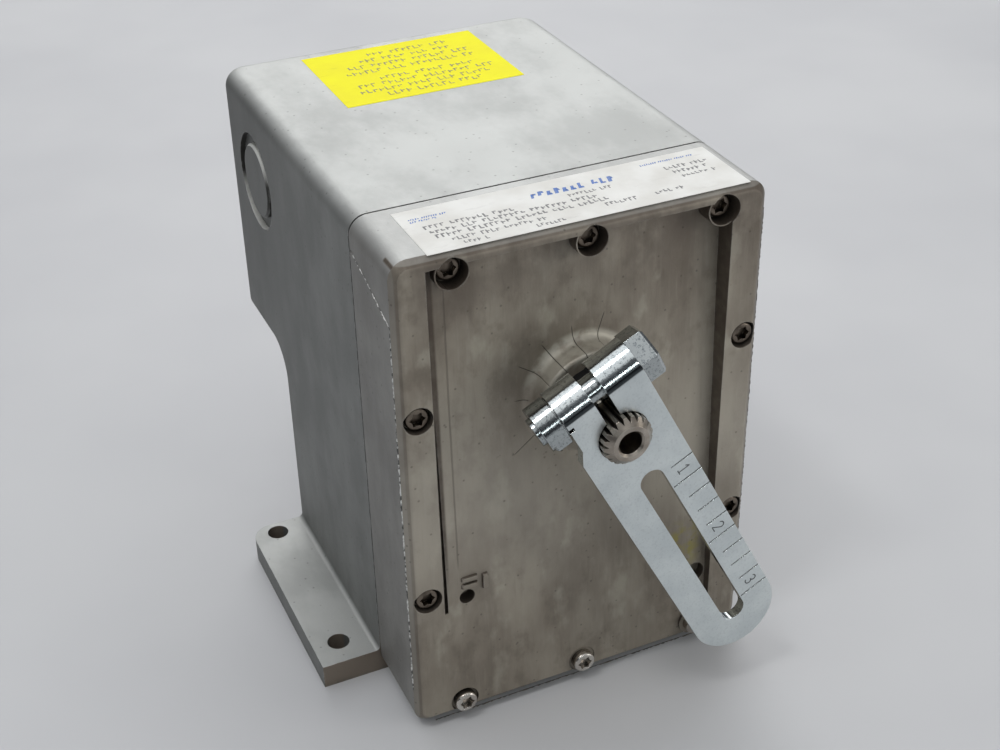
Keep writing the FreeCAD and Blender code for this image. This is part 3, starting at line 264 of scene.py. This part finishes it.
def stain_front(g, color, height, front, grain):
    """The front panel: brown tarnish, streaks, blotches, pits, scribed lines, painted shade on its
    recess walls and in the left groove.
    """
    above, radius = g.from_shaft()
    boss = g.times(g.rise(radius, 30, 26), g.rise(g.y, -58, -62))
    sunk = g.times(g.between(g.x, -50.4, 50.4, 0.2), g.between(g.z, 3.6, 146.8, 0.2),
                   g.rise(g.y, -58.5, -59.5), g.rise(radius, 27, 31))
    # Masks for painted shade: the sunk panel's side walls and the narrow groove at its left.
    walls = g.times(sunk, g.math("SUBTRACT", 1.0, front))
    corner = g.times(front, g.between(g.x, -43, -40, 0.4), g.rise(g.y, -65.6, -65.0),
                     g.between(g.z, 37, 146, 0.5))
    front = g.math("MAXIMUM", front, g.math("MAXIMUM", boss, sunk))
    flow = g.noise(1.3, stretch=(1, 1, 16), detail=3, rough=0.65, shift=71)
    color = tarnish(g, color, front, flow)
    color = panel_areas(g, color, front, boss, above, radius)
    pits = pitting(g, front)
    color = g.mix(g.times(pits, 0.7), color, (0.05, 0.045, 0.04))
    stain = g.times(g.between(g.x, 29, 38, 3), g.between(g.z, 29, 42, 4), front,
                    g.rise(g.noise(4.5, detail=3, shift=101), 0.42, 0.62))
    color = g.mix(g.times(stain, 0.85), color, (0.36, 0.32, 0.09))
    scribes = scribed_lines(g, above)
    color = g.mix(g.times(scribes, 0.85), color, (0.05, 0.043, 0.036))
    ridge = g.times(front, g.between(g.x, -37.4, -37.0, 0.18), g.between(g.z, 54, 139, 2))
    color = g.mix(g.times(ridge, 0.45), color, (0.13, 0.11, 0.094))
    # Painted shade: those walls and the groove darkened, in patches.
    patchy_shade = g.plus(0.55, g.times(g.noise(3, shift=77), 0.5))
    color = g.mix(g.math("MINIMUM", g.times(g.plus(walls, corner), patchy_shade), 0.85), color,
                  (0.085, 0.064, 0.050))
    height = g.plus(height, g.times(flow, front, 0.8), g.times(pits, -2.5),
                    g.times(scribes, -1.6), g.times(ridge, -2.0), g.times(grain, 0.2))
    return color, height


def tarnish(g, color, front, flow):
    """Cloudy brown tarnish with fine vertical streaks, smoky patches and pale patches."""
    cloud = g.rise(g.noise(16, stretch=(1, 1, 2.4), detail=5, shift=53), 0.3, 0.7)
    brown = g.mix(cloud, (0.230, 0.196, 0.156), (0.410, 0.368, 0.300))
    color = g.mix(g.times(front, 0.94), color, brown)
    color = g.mix(g.times(front, g.rise(flow, 0.52, 0.78), 0.20), color, (0.48, 0.45, 0.39))
    color = g.mix(g.times(front, g.rise(flow, 0.46, 0.26), 0.18), color, (0.15, 0.128, 0.100))
    smoky = g.rise(g.noise(7.5, stretch=(1, 1, 1.5), detail=5, rough=0.6, shift=61), 0.50, 0.68)
    color = g.mix(g.times(front, smoky, 0.42), color, (0.165, 0.138, 0.108))
    pale = g.rise(g.noise(9, stretch=(1, 1, 1.8), detail=4, shift=83), 0.54, 0.72)
    return g.mix(g.times(front, pale, 0.42), color, (0.56, 0.53, 0.44))


def panel_areas(g, color, front, boss, above, radius):
    """Painted shade under the top rim, a painted highlight on the boss's upper flare, painted light
    at mid height, and darker again at the foot.
    """
    # Painted shade under the top rim.
    rim = g.times(front, g.rise(g.z, 118, 144), g.rise(g.noise(12, shift=5), 0.25, 0.6))
    color = g.mix(g.times(rim, 0.55), color, (0.10, 0.078, 0.064))
    # Painted highlight on the upper side of the boss flare.
    flare = g.times(boss, g.between(radius, 13.4, 17.4, 0.7), g.rise(above, 1, 10),
                    g.rise(g.noise(5, shift=29), 0.30, 0.55))
    color = g.mix(g.times(flare, 0.6), color, (0.62, 0.60, 0.52))
    # Painted light: the panel painted paler at mid height.
    middle = g.times(front, g.between(g.z, 52, 92, 26))
    color = g.mix(g.times(middle, 0.5), color, (0.55, 0.51, 0.44))
    color = g.mix(g.times(front, g.rise(g.z, 44, 10), 0.22), color, (0.16, 0.135, 0.108))
    patch = g.times(g.between(g.x, -16, 6, 7), g.between(g.z, 58, 67, 6))
    blotch = g.rise(g.noise(5.2, stretch=(1, 1, 1.5), detail=3, shift=23), 0.46, 0.70)
    return g.mix(g.times(front, patch, blotch, 0.25), color, (0.12, 0.102, 0.085))


def pitting(g, front):
    """Small dark pits in the worn area left of and below the boss."""
    worn_area = g.times(g.between(g.x, -24, 0, 6), g.between(g.z, 66, 92, 6))
    pits = g.times(front, worn_area, g.rise(g.cells(2.7, shift=41), 0.20, 0.06))
    return g.times(pits, g.rise(g.noise(4.5, shift=91), 0.45, 0.6))


# Hairline scribes that run out from the boss: degrees above +X, and the two ends' radii.
SCRIBES = [(71, 14.6, 21.8), (97, 13.2, 19.2), (124, 13.4, 19.4), (146, 14.5, 21), (174, 15.6, 18.8),
           (216, 16.3, 24)]


def scribed_lines(g, above):
    """1 along each of the scribes, which wander a little."""
    wander = g.times(g.plus(g.noise(14, detail=0, shift=67), -0.5), 0.5)
    scribes = 0.0
    for degrees, start, end in SCRIBES:
        cos, sin = math.cos(math.radians(degrees)), math.sin(math.radians(degrees))
        along = g.plus(g.times(g.x, cos), g.times(above, sin))
        off = g.math("ABSOLUTE", g.plus(g.times(g.x, -sin), g.times(above, cos), wander))
        line = g.times(g.rise(off, 0.17, 0.05), g.between(along, start, end, 0.7))
        scribes = g.math("MAXIMUM", scribes, line)
    return scribes


CURLED_SPANGLE = 0.62


def zinc_plate(name, spangle, marked=False, tone=1.0):
    """Bright zinc on steel: cool tint, fine mottle, dark fill in the arm's scale marks, painted shade
    in corners and a painted highlight along edges.
    """
    g = Graph(name)
    cloud = g.noise(14, detail=4, shift=3)
    mottle = g.noise(0.7, detail=3, rough=0.7, shift=9)
    scratch = g.noise(0.35, stretch=(1, 1, 14), detail=2, shift=15)
    color = g.mix(g.rise(cloud, 0.3, 0.7), tuple(tone * c for c in (0.62, 0.67, 0.68)),
                  tuple(tone * c for c in (0.74, 0.79, 0.79)))
    spangle_share = spangle
    if marked:
        flat = g.rise(g.math("ABSOLUTE", g.split(g.normal)[1]), 0.93, 0.99)
        spangle_share = g.plus(CURLED_SPANGLE, g.times(flat, spangle - CURLED_SPANGLE))
    color = g.mix(g.times(g.rise(mottle, 0.50, 0.68), spangle_share), color, (0.13, 0.155, 0.17))
    color = g.mix(g.times(g.rise(scratch, 0.70, 0.78), 0.3), color, (0.36, 0.38, 0.39))
    # Painted shade in corners and a painted highlight along edges.
    color = g.mix(g.times(g.rise(g.crevices(2.2), 0.45, 0.95), 0.85), color, (0.05, 0.05, 0.045))
    color = g.mix(g.times(g.edges(0.35), 0.35), color, (0.90, 0.92, 0.92))
    if marked:
        mark = g.times(g.facing_front(0.5, 0.8), g.rise(g.y, ARM_FRONT + 0.10, ARM_FRONT + 0.18),
                       g.rise(g.y, ARM_FRONT + 0.60, ARM_FRONT + 0.45))
        color = g.mix(g.times(mark, 0.95), color, (0.03, 0.036, 0.04))
    roughness = g.plus(0.07, g.times(mottle, 0.08), g.times(cloud, 0.03))
    if marked:
        roughness = g.plus(roughness, g.times(flat, 0.26))
    height = g.plus(g.times(mottle, spangle_share, 2.6), g.times(mottle, 0.6), g.times(scratch, 0.3))
    return g.surface(color, roughness, 1.0, height, depth=0.008, bevel=0.25)


def bare_metal(name, color, dark, roughness, turned=False, grime_and_shade=0.6, bevel=0.15):
    """Machined metal: fine tool marks, cloudy tone, and soiling and painted shade in its corners."""
    g = Graph(name)
    cloud = g.noise(5, detail=4, shift=21)
    fine = g.noise(0.3, detail=2, rough=0.7, shift=2)
    base = g.mix(g.rise(cloud, 0.32, 0.68), dark, color)
    height = g.times(fine, 0.6)
    if turned:
        _, radius = g.from_shaft()
        ring = g.noise(0.22, detail=1, at=g.join(radius, 0.0, 0.0))
        base = g.mix(g.times(g.rise(ring, 0.4, 0.65), 0.35), base, dark)
        height = g.plus(height, g.times(ring, 1.5))
    # Soiling and painted shade: corners darkened through an ambient-occlusion mask.
    base = g.mix(g.times(g.rise(g.crevices(1.8), 0.25, 0.8), grime_and_shade), base, (0.02, 0.016, 0.012))
    base = g.mix(g.times(g.edges(0.2), 0.35), base, tuple(min(1, 1.4 * c + 0.05) for c in color))
    rough = g.plus(roughness, g.times(cloud, 0.12))
    return g.surface(base, rough, 1.0, height, depth=0.012, bevel=bevel)


def moulded(name, color, roughness=0.45, metallic=0.0):
    """Moulded plastic or rubber with a fine spark texture and slight tone drift."""
    g = Graph(name)
    cloud = g.noise(7, detail=3, shift=13)
    fine = g.noise(0.25, detail=2, rough=0.8)
    base = g.mix(g.rise(cloud, 0.3, 0.7), tuple(0.78 * c for c in color), color)
    # Painted shade: corners darkened through an ambient-occlusion mask.
    base = g.mix(g.times(g.rise(g.crevices(2), 0.3, 0.9), 0.5), base, (0.02, 0.018, 0.015))
    rough = g.plus(roughness, g.times(cloud, 0.12))
    return g.surface(base, rough, metallic, fine, depth=0.015, bevel=0.2)


def label_film(name, color, aged):
    """Printed film: slightly uneven gloss and patches worn by rubbing."""
    g = Graph(name)
    cloud = g.noise(11, detail=4, shift=19)
    rub = g.rise(g.noise(2.2, stretch=(3, 1, 1), detail=4, shift=37), 0.60, 0.74)
    base = g.mix(g.rise(cloud, 0.3, 0.75), aged, color)
    base = g.mix(g.times(rub, 0.28), base, tuple(0.72 * c for c in aged))
    fine = g.noise(1.4, detail=3)
    return g.surface(base, g.plus(0.52, g.times(cloud, 0.2)), 0.0, fine, depth=0.02,
                     specular=0.12)


def ink(name, color):
    """Printing ink with small gaps where it did not take."""
    g = Graph(name)
    gaps = g.rise(g.noise(0.4, detail=3), 0.35, 0.62)
    base = g.mix(gaps, tuple(0.6 * c + 0.1 for c in color), color)
    return g.surface(base, g.plus(0.4, g.times(gaps, 0.15)), 0.0)


def flash_metal(name, fresh):
    """Torn casting flash: patches of fresh bright metal among dark patches."""
    g = Graph(name)
    patch = g.rise(g.noise(1.6, detail=3), 0.42, 0.58)
    base = g.mix(patch, (0.10, 0.10, 0.095), fresh)
    return g.surface(base, g.plus(0.3, g.times(patch, 0.2)), 0.7, g.noise(0.3), depth=0.02)


def floor_paint(name):
    g = Graph(name)
    cloud = g.noise(160, detail=3)
    base = g.mix(g.rise(cloud, 0.3, 0.7), (0.53, 0.535, 0.55), (0.58, 0.585, 0.595))
    return g.surface(base, g.plus(0.5, g.times(cloud, 0.1)), 0.0)


# Dark colour for specks, and for soiling and painted shade in corners.
GRIME_AND_SHADE = (0.045, 0.038, 0.032)
materials = {
    "front_casting": cast_aluminium("front_casting", (0.30, 0.295, 0.278), (0.205, 0.20, 0.188),
                                    (0.50, 0.505, 0.49), GRIME_AND_SHADE, wear=0.15, stained_front=True),
    "rear_casting": cast_aluminium("rear_casting", (0.255, 0.26, 0.25), (0.175, 0.18, 0.172),
                                   (0.50, 0.51, 0.495), (0.06, 0.058, 0.053), wear=0.4),
    "gasket": moulded("gasket", (0.055, 0.05, 0.045), 0.75),
    "cover_screw": bare_metal("cover_screw", (0.22, 0.185, 0.150), (0.10, 0.082, 0.066), 0.3,
                              grime_and_shade=0.95),
    "white_label": label_film("white_label", (0.86, 0.86, 0.83), (0.74, 0.73, 0.69)),
    "yellow_label": label_film("yellow_label", (0.97, 0.92, 0.02), (0.93, 0.86, 0.015)),
    "zinc_steel": zinc_plate("zinc_steel", 0.12, marked=True),
    "steel": bare_metal("steel", (0.50, 0.455, 0.40), (0.30, 0.265, 0.225), 0.26, turned=True,
                        grime_and_shade=0.95),
    "gear_steel": bare_metal("gear_steel", (0.46, 0.45, 0.44), (0.32, 0.31, 0.30), 0.3),
    "bronze": bare_metal("bronze", (0.60, 0.42, 0.20), (0.42, 0.28, 0.12), 0.38),
    "seal_rubber": moulded("seal_rubber", (0.03, 0.03, 0.032), 0.6),
    "plate_steel": bare_metal("plate_steel", (0.60, 0.60, 0.55), (0.48, 0.48, 0.44), 0.34),
    "black_plastic": moulded("black_plastic", (0.03, 0.03, 0.033), 0.42),
    "red_plastic": moulded("red_plastic", (0.42, 0.03, 0.02), 0.4),
    "brass": bare_metal("brass", (0.78, 0.58, 0.24), (0.58, 0.40, 0.15), 0.28),
    "motor_shell": cast_aluminium("motor_shell", (0.52, 0.53, 0.53), (0.42, 0.43, 0.43),
                                  (0.55, 0.56, 0.56), GRIME_AND_SHADE),
    "lamination": bare_metal("lamination", (0.20, 0.20, 0.21), (0.12, 0.12, 0.13), 0.5),
    "copper": bare_metal("copper", (0.62, 0.26, 0.10), (0.45, 0.17, 0.06), 0.32),
    "rotor_metal": bare_metal("rotor_metal", (0.36, 0.36, 0.36), (0.25, 0.25, 0.25), 0.4),
    "block_plastic": moulded("block_plastic", (0.045, 0.04, 0.036), 0.5),
    "can": bare_metal("can", (0.66, 0.67, 0.68), (0.55, 0.56, 0.57), 0.3),
    "green_screw": moulded("green_screw", (0.05, 0.26, 0.09), 0.35, metallic=0.6),
}
bright_screw = bare_metal("bright_screw", (0.70, 0.67, 0.62), (0.44, 0.40, 0.36), 0.2, grime_and_shade=0.9)
fastener_zinc = zinc_plate("fastener_zinc", 0.75, tone=0.62)
OWN_FINISH = {"bottom_cover_screws": bright_screw, "clamp_bolt": fastener_zinc,
              "clamp_nut": fastener_zinc}

for part in frame["record"]["subparts"]:
    shown = nodes[part["node"]]
    finish = OWN_FINISH.get(part["node"], materials[part["material_slot"]])
    shown.data.materials.clear()
    shown.data.materials.append(finish)


# ---------------------------------------------------------------- detail pieces

def mesh_piece(name, vertices, faces, finish, body):
    """A mesh in millimetres that rides on a CAD body."""
    mesh = bpy.data.meshes.new(name)
    mesh.from_pydata([Vector(v) * MM for v in vertices], [], faces)
    mesh.validate()
    mesh.materials.append(finish)
    piece = bpy.data.objects.new(name, mesh)
    bpy.context.scene.collection.objects.link(piece)
    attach(piece, body)
    return piece


def slab_faces(vertices, faces, corners, low, high):
    """Add a closed block over a plan outline, between two heights."""
    first, count = len(vertices), len(corners)
    vertices += [(x, y, low) for x, y in corners] + [(x, y, high) for x, y in corners]
    ring = range(count)
    faces.append([first + i for i in reversed(ring)])
    faces.append([first + count + i for i in ring])
    faces += [[first + i, first + (i + 1) % count,
               first + count + (i + 1) % count, first + count + i] for i in ring]


INK_DEPTH = 0.03


def greeked_rows(name, rows, finish, seed, lean=0.0, weight=0.3):
    """Rows of small upright dashes that stand for lines of type and spell nothing.

    Each row is its left end, right end, its near edge and its height."""
    draw = random.Random(seed)
    vertices, faces = [], []
    for left, right, near, height in rows:
        step = 0.68 * height
        slant = lean * height
        x = left
        while x < right:
            for _ in range(draw.randint(3, 8)):
                if x > right:
                    break
                wide = step * weight * draw.uniform(0.8, 1.3)
                low = near + height * draw.choice((0, 0, 0.25))
                high = near + height * draw.choice((1, 1, 0.75))
                slab_faces(vertices, faces, [(x, low), (x + wide, low),
                                             (x + wide + slant, high), (x + slant, high)],
                           LABEL_TOP, LABEL_TOP + INK_DEPTH)
                level = draw.choice((low, (low + high) / 2, high - wide))
                shift = slant * (level - near) / height
                slab_faces(vertices, faces,
                           [(x + wide + shift, level), (x + 0.8 * step + shift, level),
                            (x + 0.8 * step + shift, level + wide), (x + wide + shift, level + wide)],
                           LABEL_TOP, LABEL_TOP + INK_DEPTH)
                x += step * 1.12
            x += step * 0.9
    return mesh_piece(name, vertices, faces, finish, "housing")


black_ink = ink("black_ink", (0.13, 0.13, 0.135))
blue_ink = ink("blue_ink", (0.02, 0.14, 0.52))
olive_ink = ink("olive_ink", (0.22, 0.20, 0.02))

greeked_rows("rating_print", [(-37, -13, -52.6, 1.9), (-36.5, 8, -55.2, 1.9),
                              (-36, 10, -57.8, 1.9), (-33, -8, -60.6, 1.7),
                              (2, 14, -52.0, 1.5), (8, 18, -60.6, 1.7), (22, 30, -60.4, 1.6),
                              (-31, -25, -63.2, 1.5), (-12, -5, -63.2, 1.5),
                              (31, 43, -49.2, 1.7), (32, 42, -52.0, 1.7), (33, 43, -54.8, 1.7)],
             black_ink, seed=3)
greeked_rows("rating_heading", [(-7, 17, -48.8, 2.9), (-39, -29, -46.6, 0.8),
                                (-39, -32, -47.9, 0.8), (26, 41, -44.6, 0.8)],
             blue_ink, seed=5, lean=0.25, weight=0.42)
greeked_rows("yellow_print", [(-14, 14, 29.4, 2.5), (-21, 18, 33.4, 2.5), (-20, 21, 37.4, 2.5),
                              (-12, 17, 41.4, 2.5), (-20, 19, 47.6, 2.5), (-18, 20, 51.8, 2.5),
                              (-13, 15, 56.0, 2.5), (-9, 16, 60.2, 2.5)],
             olive_ink, seed=8, weight=0.22)


def arm_point(along, across, depth=0.0):
    """A point on the arm's front face, from its own lengths along and across."""
    cos, sin = math.cos(ARM_ANGLE), math.sin(ARM_ANGLE)
    return (along * cos + across * sin, ARM_FRONT - depth, SHAFT_Z - along * sin + across * cos)


def arm_stroke(vertices, faces, spots, width, depth):
    """A thin raised ribbon through points on the arm's front face."""
    for (a0, c0), (a1, c1) in zip(spots, spots[1:]):
        run = Vector((a1 - a0, c1 - c0))
        side = Vector((-run.y, run.x)).normalized() * width / 2
        ahead = run.normalized() * width / 4
        corners = [(a0 - ahead.x + side.x, c0 - ahead.y + side.y),
                   (a0 - ahead.x - side.x, c0 - ahead.y - side.y),
                   (a1 + ahead.x - side.x, c1 + ahead.y - side.y),
                   (a1 + ahead.x + side.x, c1 + ahead.y + side.y)]
        first = len(vertices)
        vertices += [arm_point(a, c, -0.02) for a, c in corners]
        vertices += [arm_point(a, c, depth) for a, c in corners]
        faces += [[first + i for i in (3, 2, 1, 0)], [first + 4 + i for i in range(4)]]
        faces += [[first + i, first + (i + 1) % 4, first + 4 + (i + 1) % 4, first + 4 + i]
                  for i in range(4)]


def arc(middle, radius, start, end, steps=10):
    """Points on an arc, in degrees from the reading direction towards the digit's top."""
    turns = [math.radians(start + (end - start) * i / steps) for i in range(steps + 1)]
    return [(middle[0] + radius * math.cos(t), middle[1] + radius * math.sin(t)) for t in turns]


# Each digit is drawn in a cell 2 wide and 3.4 high, its baseline along the arm.
DIGITS = {
    1: [[(0.3, 2.6), (1.0, 3.4), (1.0, 0)], [(0.3, 0), (1.7, 0)]],
    2: [arc((1.0, 2.5), 0.9, 170, -40) + [(0.1, 0), (1.9, 0)]],
    3: [arc((0.95, 2.55), 0.82, 150, -90), arc((0.95, 0.88), 0.88, 90, -150)],
}
dark_mark = ink("dark_mark", (0.075, 0.085, 0.09))
INCH = 25.4
for digit, strokes in DIGITS.items():
    digit_vertices, digit_faces = [], []
    corner = (digit * INCH - 4.3, 6.9)
    for stroke in strokes:
        spots = [(corner[0] + x, corner[1] + y) for x, y in stroke]
        arm_stroke(digit_vertices, digit_faces, spots, 0.32, 0.02)
    mesh_piece(f"arm_digit_{digit}", digit_vertices, digit_faces, dark_mark, "output")


def flash_ridge(name, spots, outward, tall, seed, finish):
    """A ragged fin of casting flash along a line of points."""
    draw = random.Random(seed)
    outward = Vector(outward).normalized()
    vertices, faces = [], []
    for start, end in zip(spots, spots[1:]):
        start, end = Vector(start), Vector(end)
        steps = max(2, int((end - start).length / 0.55))
        side = (end - start).normalized().cross(outward) * 0.16
        for i in range(steps):
            middle = start.lerp(end, i / steps)
            reach = tall * draw.choice((0.15, 0.35, 0.6, 1.0, 1.0)) * draw.uniform(0.6, 1)
            drift = side * draw.uniform(-0.8, 0.8)
            vertices += [middle - side - outward * 0.1, middle + side - outward * 0.1,
                         middle + drift + outward * reach]
    rows = len(vertices) // 3
    for i in range(rows - 1):
        a, b = 3 * i, 3 * (i + 1)
        faces += [[a, b, b + 2, a + 2], [a + 2, b + 2, b + 1, a + 1], [a + 1, b + 1, b, a]]
    faces += [[0, 2, 1], [3 * rows - 3, 3 * rows - 2, 3 * rows - 1]]
    return mesh_piece(name, vertices, faces, finish, "housing")


bright_flash = flash_metal("casting_flash", (0.80, 0.80, 0.77))
dull_flash = flash_metal("dull_flash", (0.13, 0.11, 0.09))
SIDE = -51.5
flash_ridge("side_flash", [(SIDE, -38.4, 139.5), (SIDE, -50, 135.5), (SIDE, -63.6, 130.5),
                           (SIDE, -64.0, 90), (SIDE, -64.0, 46), (SIDE, -64.0, 14)],
            (-1, 0, 0), 0.32, 4, bright_flash)
flash_ridge("bottom_flash", [(-46, -65.6, 2.4), (0, -65.6, 2.3), (46, -65.6, 2.4)],
            (0, -0.5, -1), 0.3, 9, dull_flash)
flash_ridge("right_flash", [(51.5, -64.0, 12), (51.5, -64.0, 76), (51.5, -64.0, 140)],
            (1, 0, 0), 0.22, 12, dull_flash)


def low_pad(name, middle, half, finish, lift, rounds=5):
    """A soft-edged raised pad on the front panel, built as stacked shrinking rings."""
    vertices, faces = [], []
    levels = [(1.0, -0.3), (1.0, 0.0), (0.93, 0.6 * lift), (0.80, 0.92 * lift), (0.62, lift)]
    outline = []
    for quarter, (sx, sz) in enumerate(((1, 1), (-1, 1), (-1, -1), (1, -1))):
        for i in range(rounds):
            turn = math.pi / 2 * (quarter + i / (rounds - 1))
            outline.append((0.7 * sx * half[0] + 0.3 * half[0] * math.cos(turn),
                            0.7 * sz * half[1] + 0.3 * half[1] * math.sin(turn)))
    for share, rise in levels:
        vertices += [(middle[0] + share * x, middle[1] - rise, middle[2] + share * z)
                     for x, z in outline]
    count = len(outline)
    for level in range(len(levels) - 1):
        for i in range(count):
            j = (i + 1) % count
            low, high = level * count, (level + 1) * count
            faces.append([low + i, low + j, high + j, high + i])
    faces.append([(len(levels) - 1) * count + i for i in range(count)])
    faces.append([i for i in reversed(range(count))])
    return mesh_piece(name, vertices, faces, finish, "housing")


def panel_front(x, z):
    """How far forward the front casting reaches at this spot, in millimetres."""
    casting = nodes["front_gear_case"]
    found, spot, _, _ = casting.ray_cast(Vector((x, 2 * ARM_FRONT, z)) * MM, Vector((0, 1, 0)))
    return spot.y / MM if found else CASE_FRONT


def cast_mark(name, x, z, half, lift):
    """A pad cast on the sunk panel, wherever the panel is at this spot."""
    low_pad(name, (x, panel_front(x, z), z), half, materials["front_casting"],
            lift)


for bar, z in enumerate((46.9, 49.2)):
    cast_mark(f"cast_bar_{bar}", -34.2, z, (2.4, 0.8), 0.8)
cast_mark("cast_wedge", -29.6, 46.8, (0.9, 2.6), 0.9)


# ---------------------------------------------------------------- stage, light and camera

def plane(name, half, height, finish):
    mesh = bpy.data.meshes.new(name)
    mesh.from_pydata([(-half, -half, height), (half, -half, height), (half, half, height),
                      (-half, half, height)], [], [(0, 1, 2, 3)])
    mesh.materials.append(finish)
    floor = bpy.data.objects.new(name, mesh)
    bpy.context.scene.collection.objects.link(floor)


def area_light(name, spot, target, size, power, color=(1, 1, 1)):
    data = bpy.data.lights.new(name, "AREA")
    data.shape = "RECTANGLE"
    data.size, data.size_y = size
    data.energy = power
    data.color = color
    lamp = bpy.data.objects.new(name, data)
    lamp.location = spot
    lamp.rotation_euler = (Vector(target) - Vector(spot)).to_track_quat("-Z", "Y").to_euler()
    bpy.context.scene.collection.objects.link(lamp)


plane("floor", 6, 0, floor_paint("floor_paint"))

world = bpy.data.worlds.new("studio")
world.use_nodes = True
bpy.context.scene.world = world
tree = world.node_tree
sky = tree.nodes.new("ShaderNodeTexCoord")
bearing = tree.nodes.new("ShaderNodeVectorMath")
bearing.operation = "DOT_PRODUCT"
bearing.inputs[1].default_value = (0.0, 0.25, 0.97)
shade = tree.nodes.new("ShaderNodeValToRGB")
tree.links.new(sky.outputs["Generated"], bearing.inputs[0])
tree.links.new(bearing.outputs["Value"], shade.inputs[0])
tree.links.new(shade.outputs[0], tree.nodes["Background"].inputs[0])
shade.color_ramp.elements[0].position = 0.3
shade.color_ramp.elements[0].color = (0.055, 0.058, 0.065, 1)
shade.color_ramp.elements[1].position = 0.95
shade.color_ramp.elements[1].color = (0.50, 0.51, 0.53, 1)
tree.nodes["Background"].inputs[1].default_value = 1.0

HEART = (0, 0, 0.08)
area_light("overhead", (-0.50, -0.2, 1.25), HEART, (0.22, 0.14), 2.2)
area_light("ceiling", (-0.1, 0.1, 1.7), HEART, (3.2, 3.2), 17.5)
area_light("back_panel", (0.52, 1.2, 0.95), HEART, (1.3, 0.9), 8.5)
area_light("front_strip", (-0.18, -1.5, 0.62), HEART, (1.8, 0.07), 3, (0.92, 0.99, 1))
area_light("right_fill", (1.35, -1.05, 0.5), HEART, (0.8, 0.6), 7, (1, 0.98, 0.95))

camera_data = bpy.data.cameras.new("camera")
camera_data.lens = 56.8
camera_data.sensor_width = 36
camera = bpy.data.objects.new("camera", camera_data)
right = Vector((0.9089, -0.4167, -0.0182))
forward = Vector((0.3427, 0.7710, -0.5368))
up = Vector((0.2377, 0.4816, 0.8435))
turn = Matrix((right, up, -forward)).transposed().to_4x4()
camera.matrix_world = Matrix.Translation((-0.1583, -0.3677, 0.3211)) @ turn
bpy.context.scene.collection.objects.link(camera)
bpy.context.scene.camera = camera
bpy.context.scene.view_settings.view_transform = "Standard"
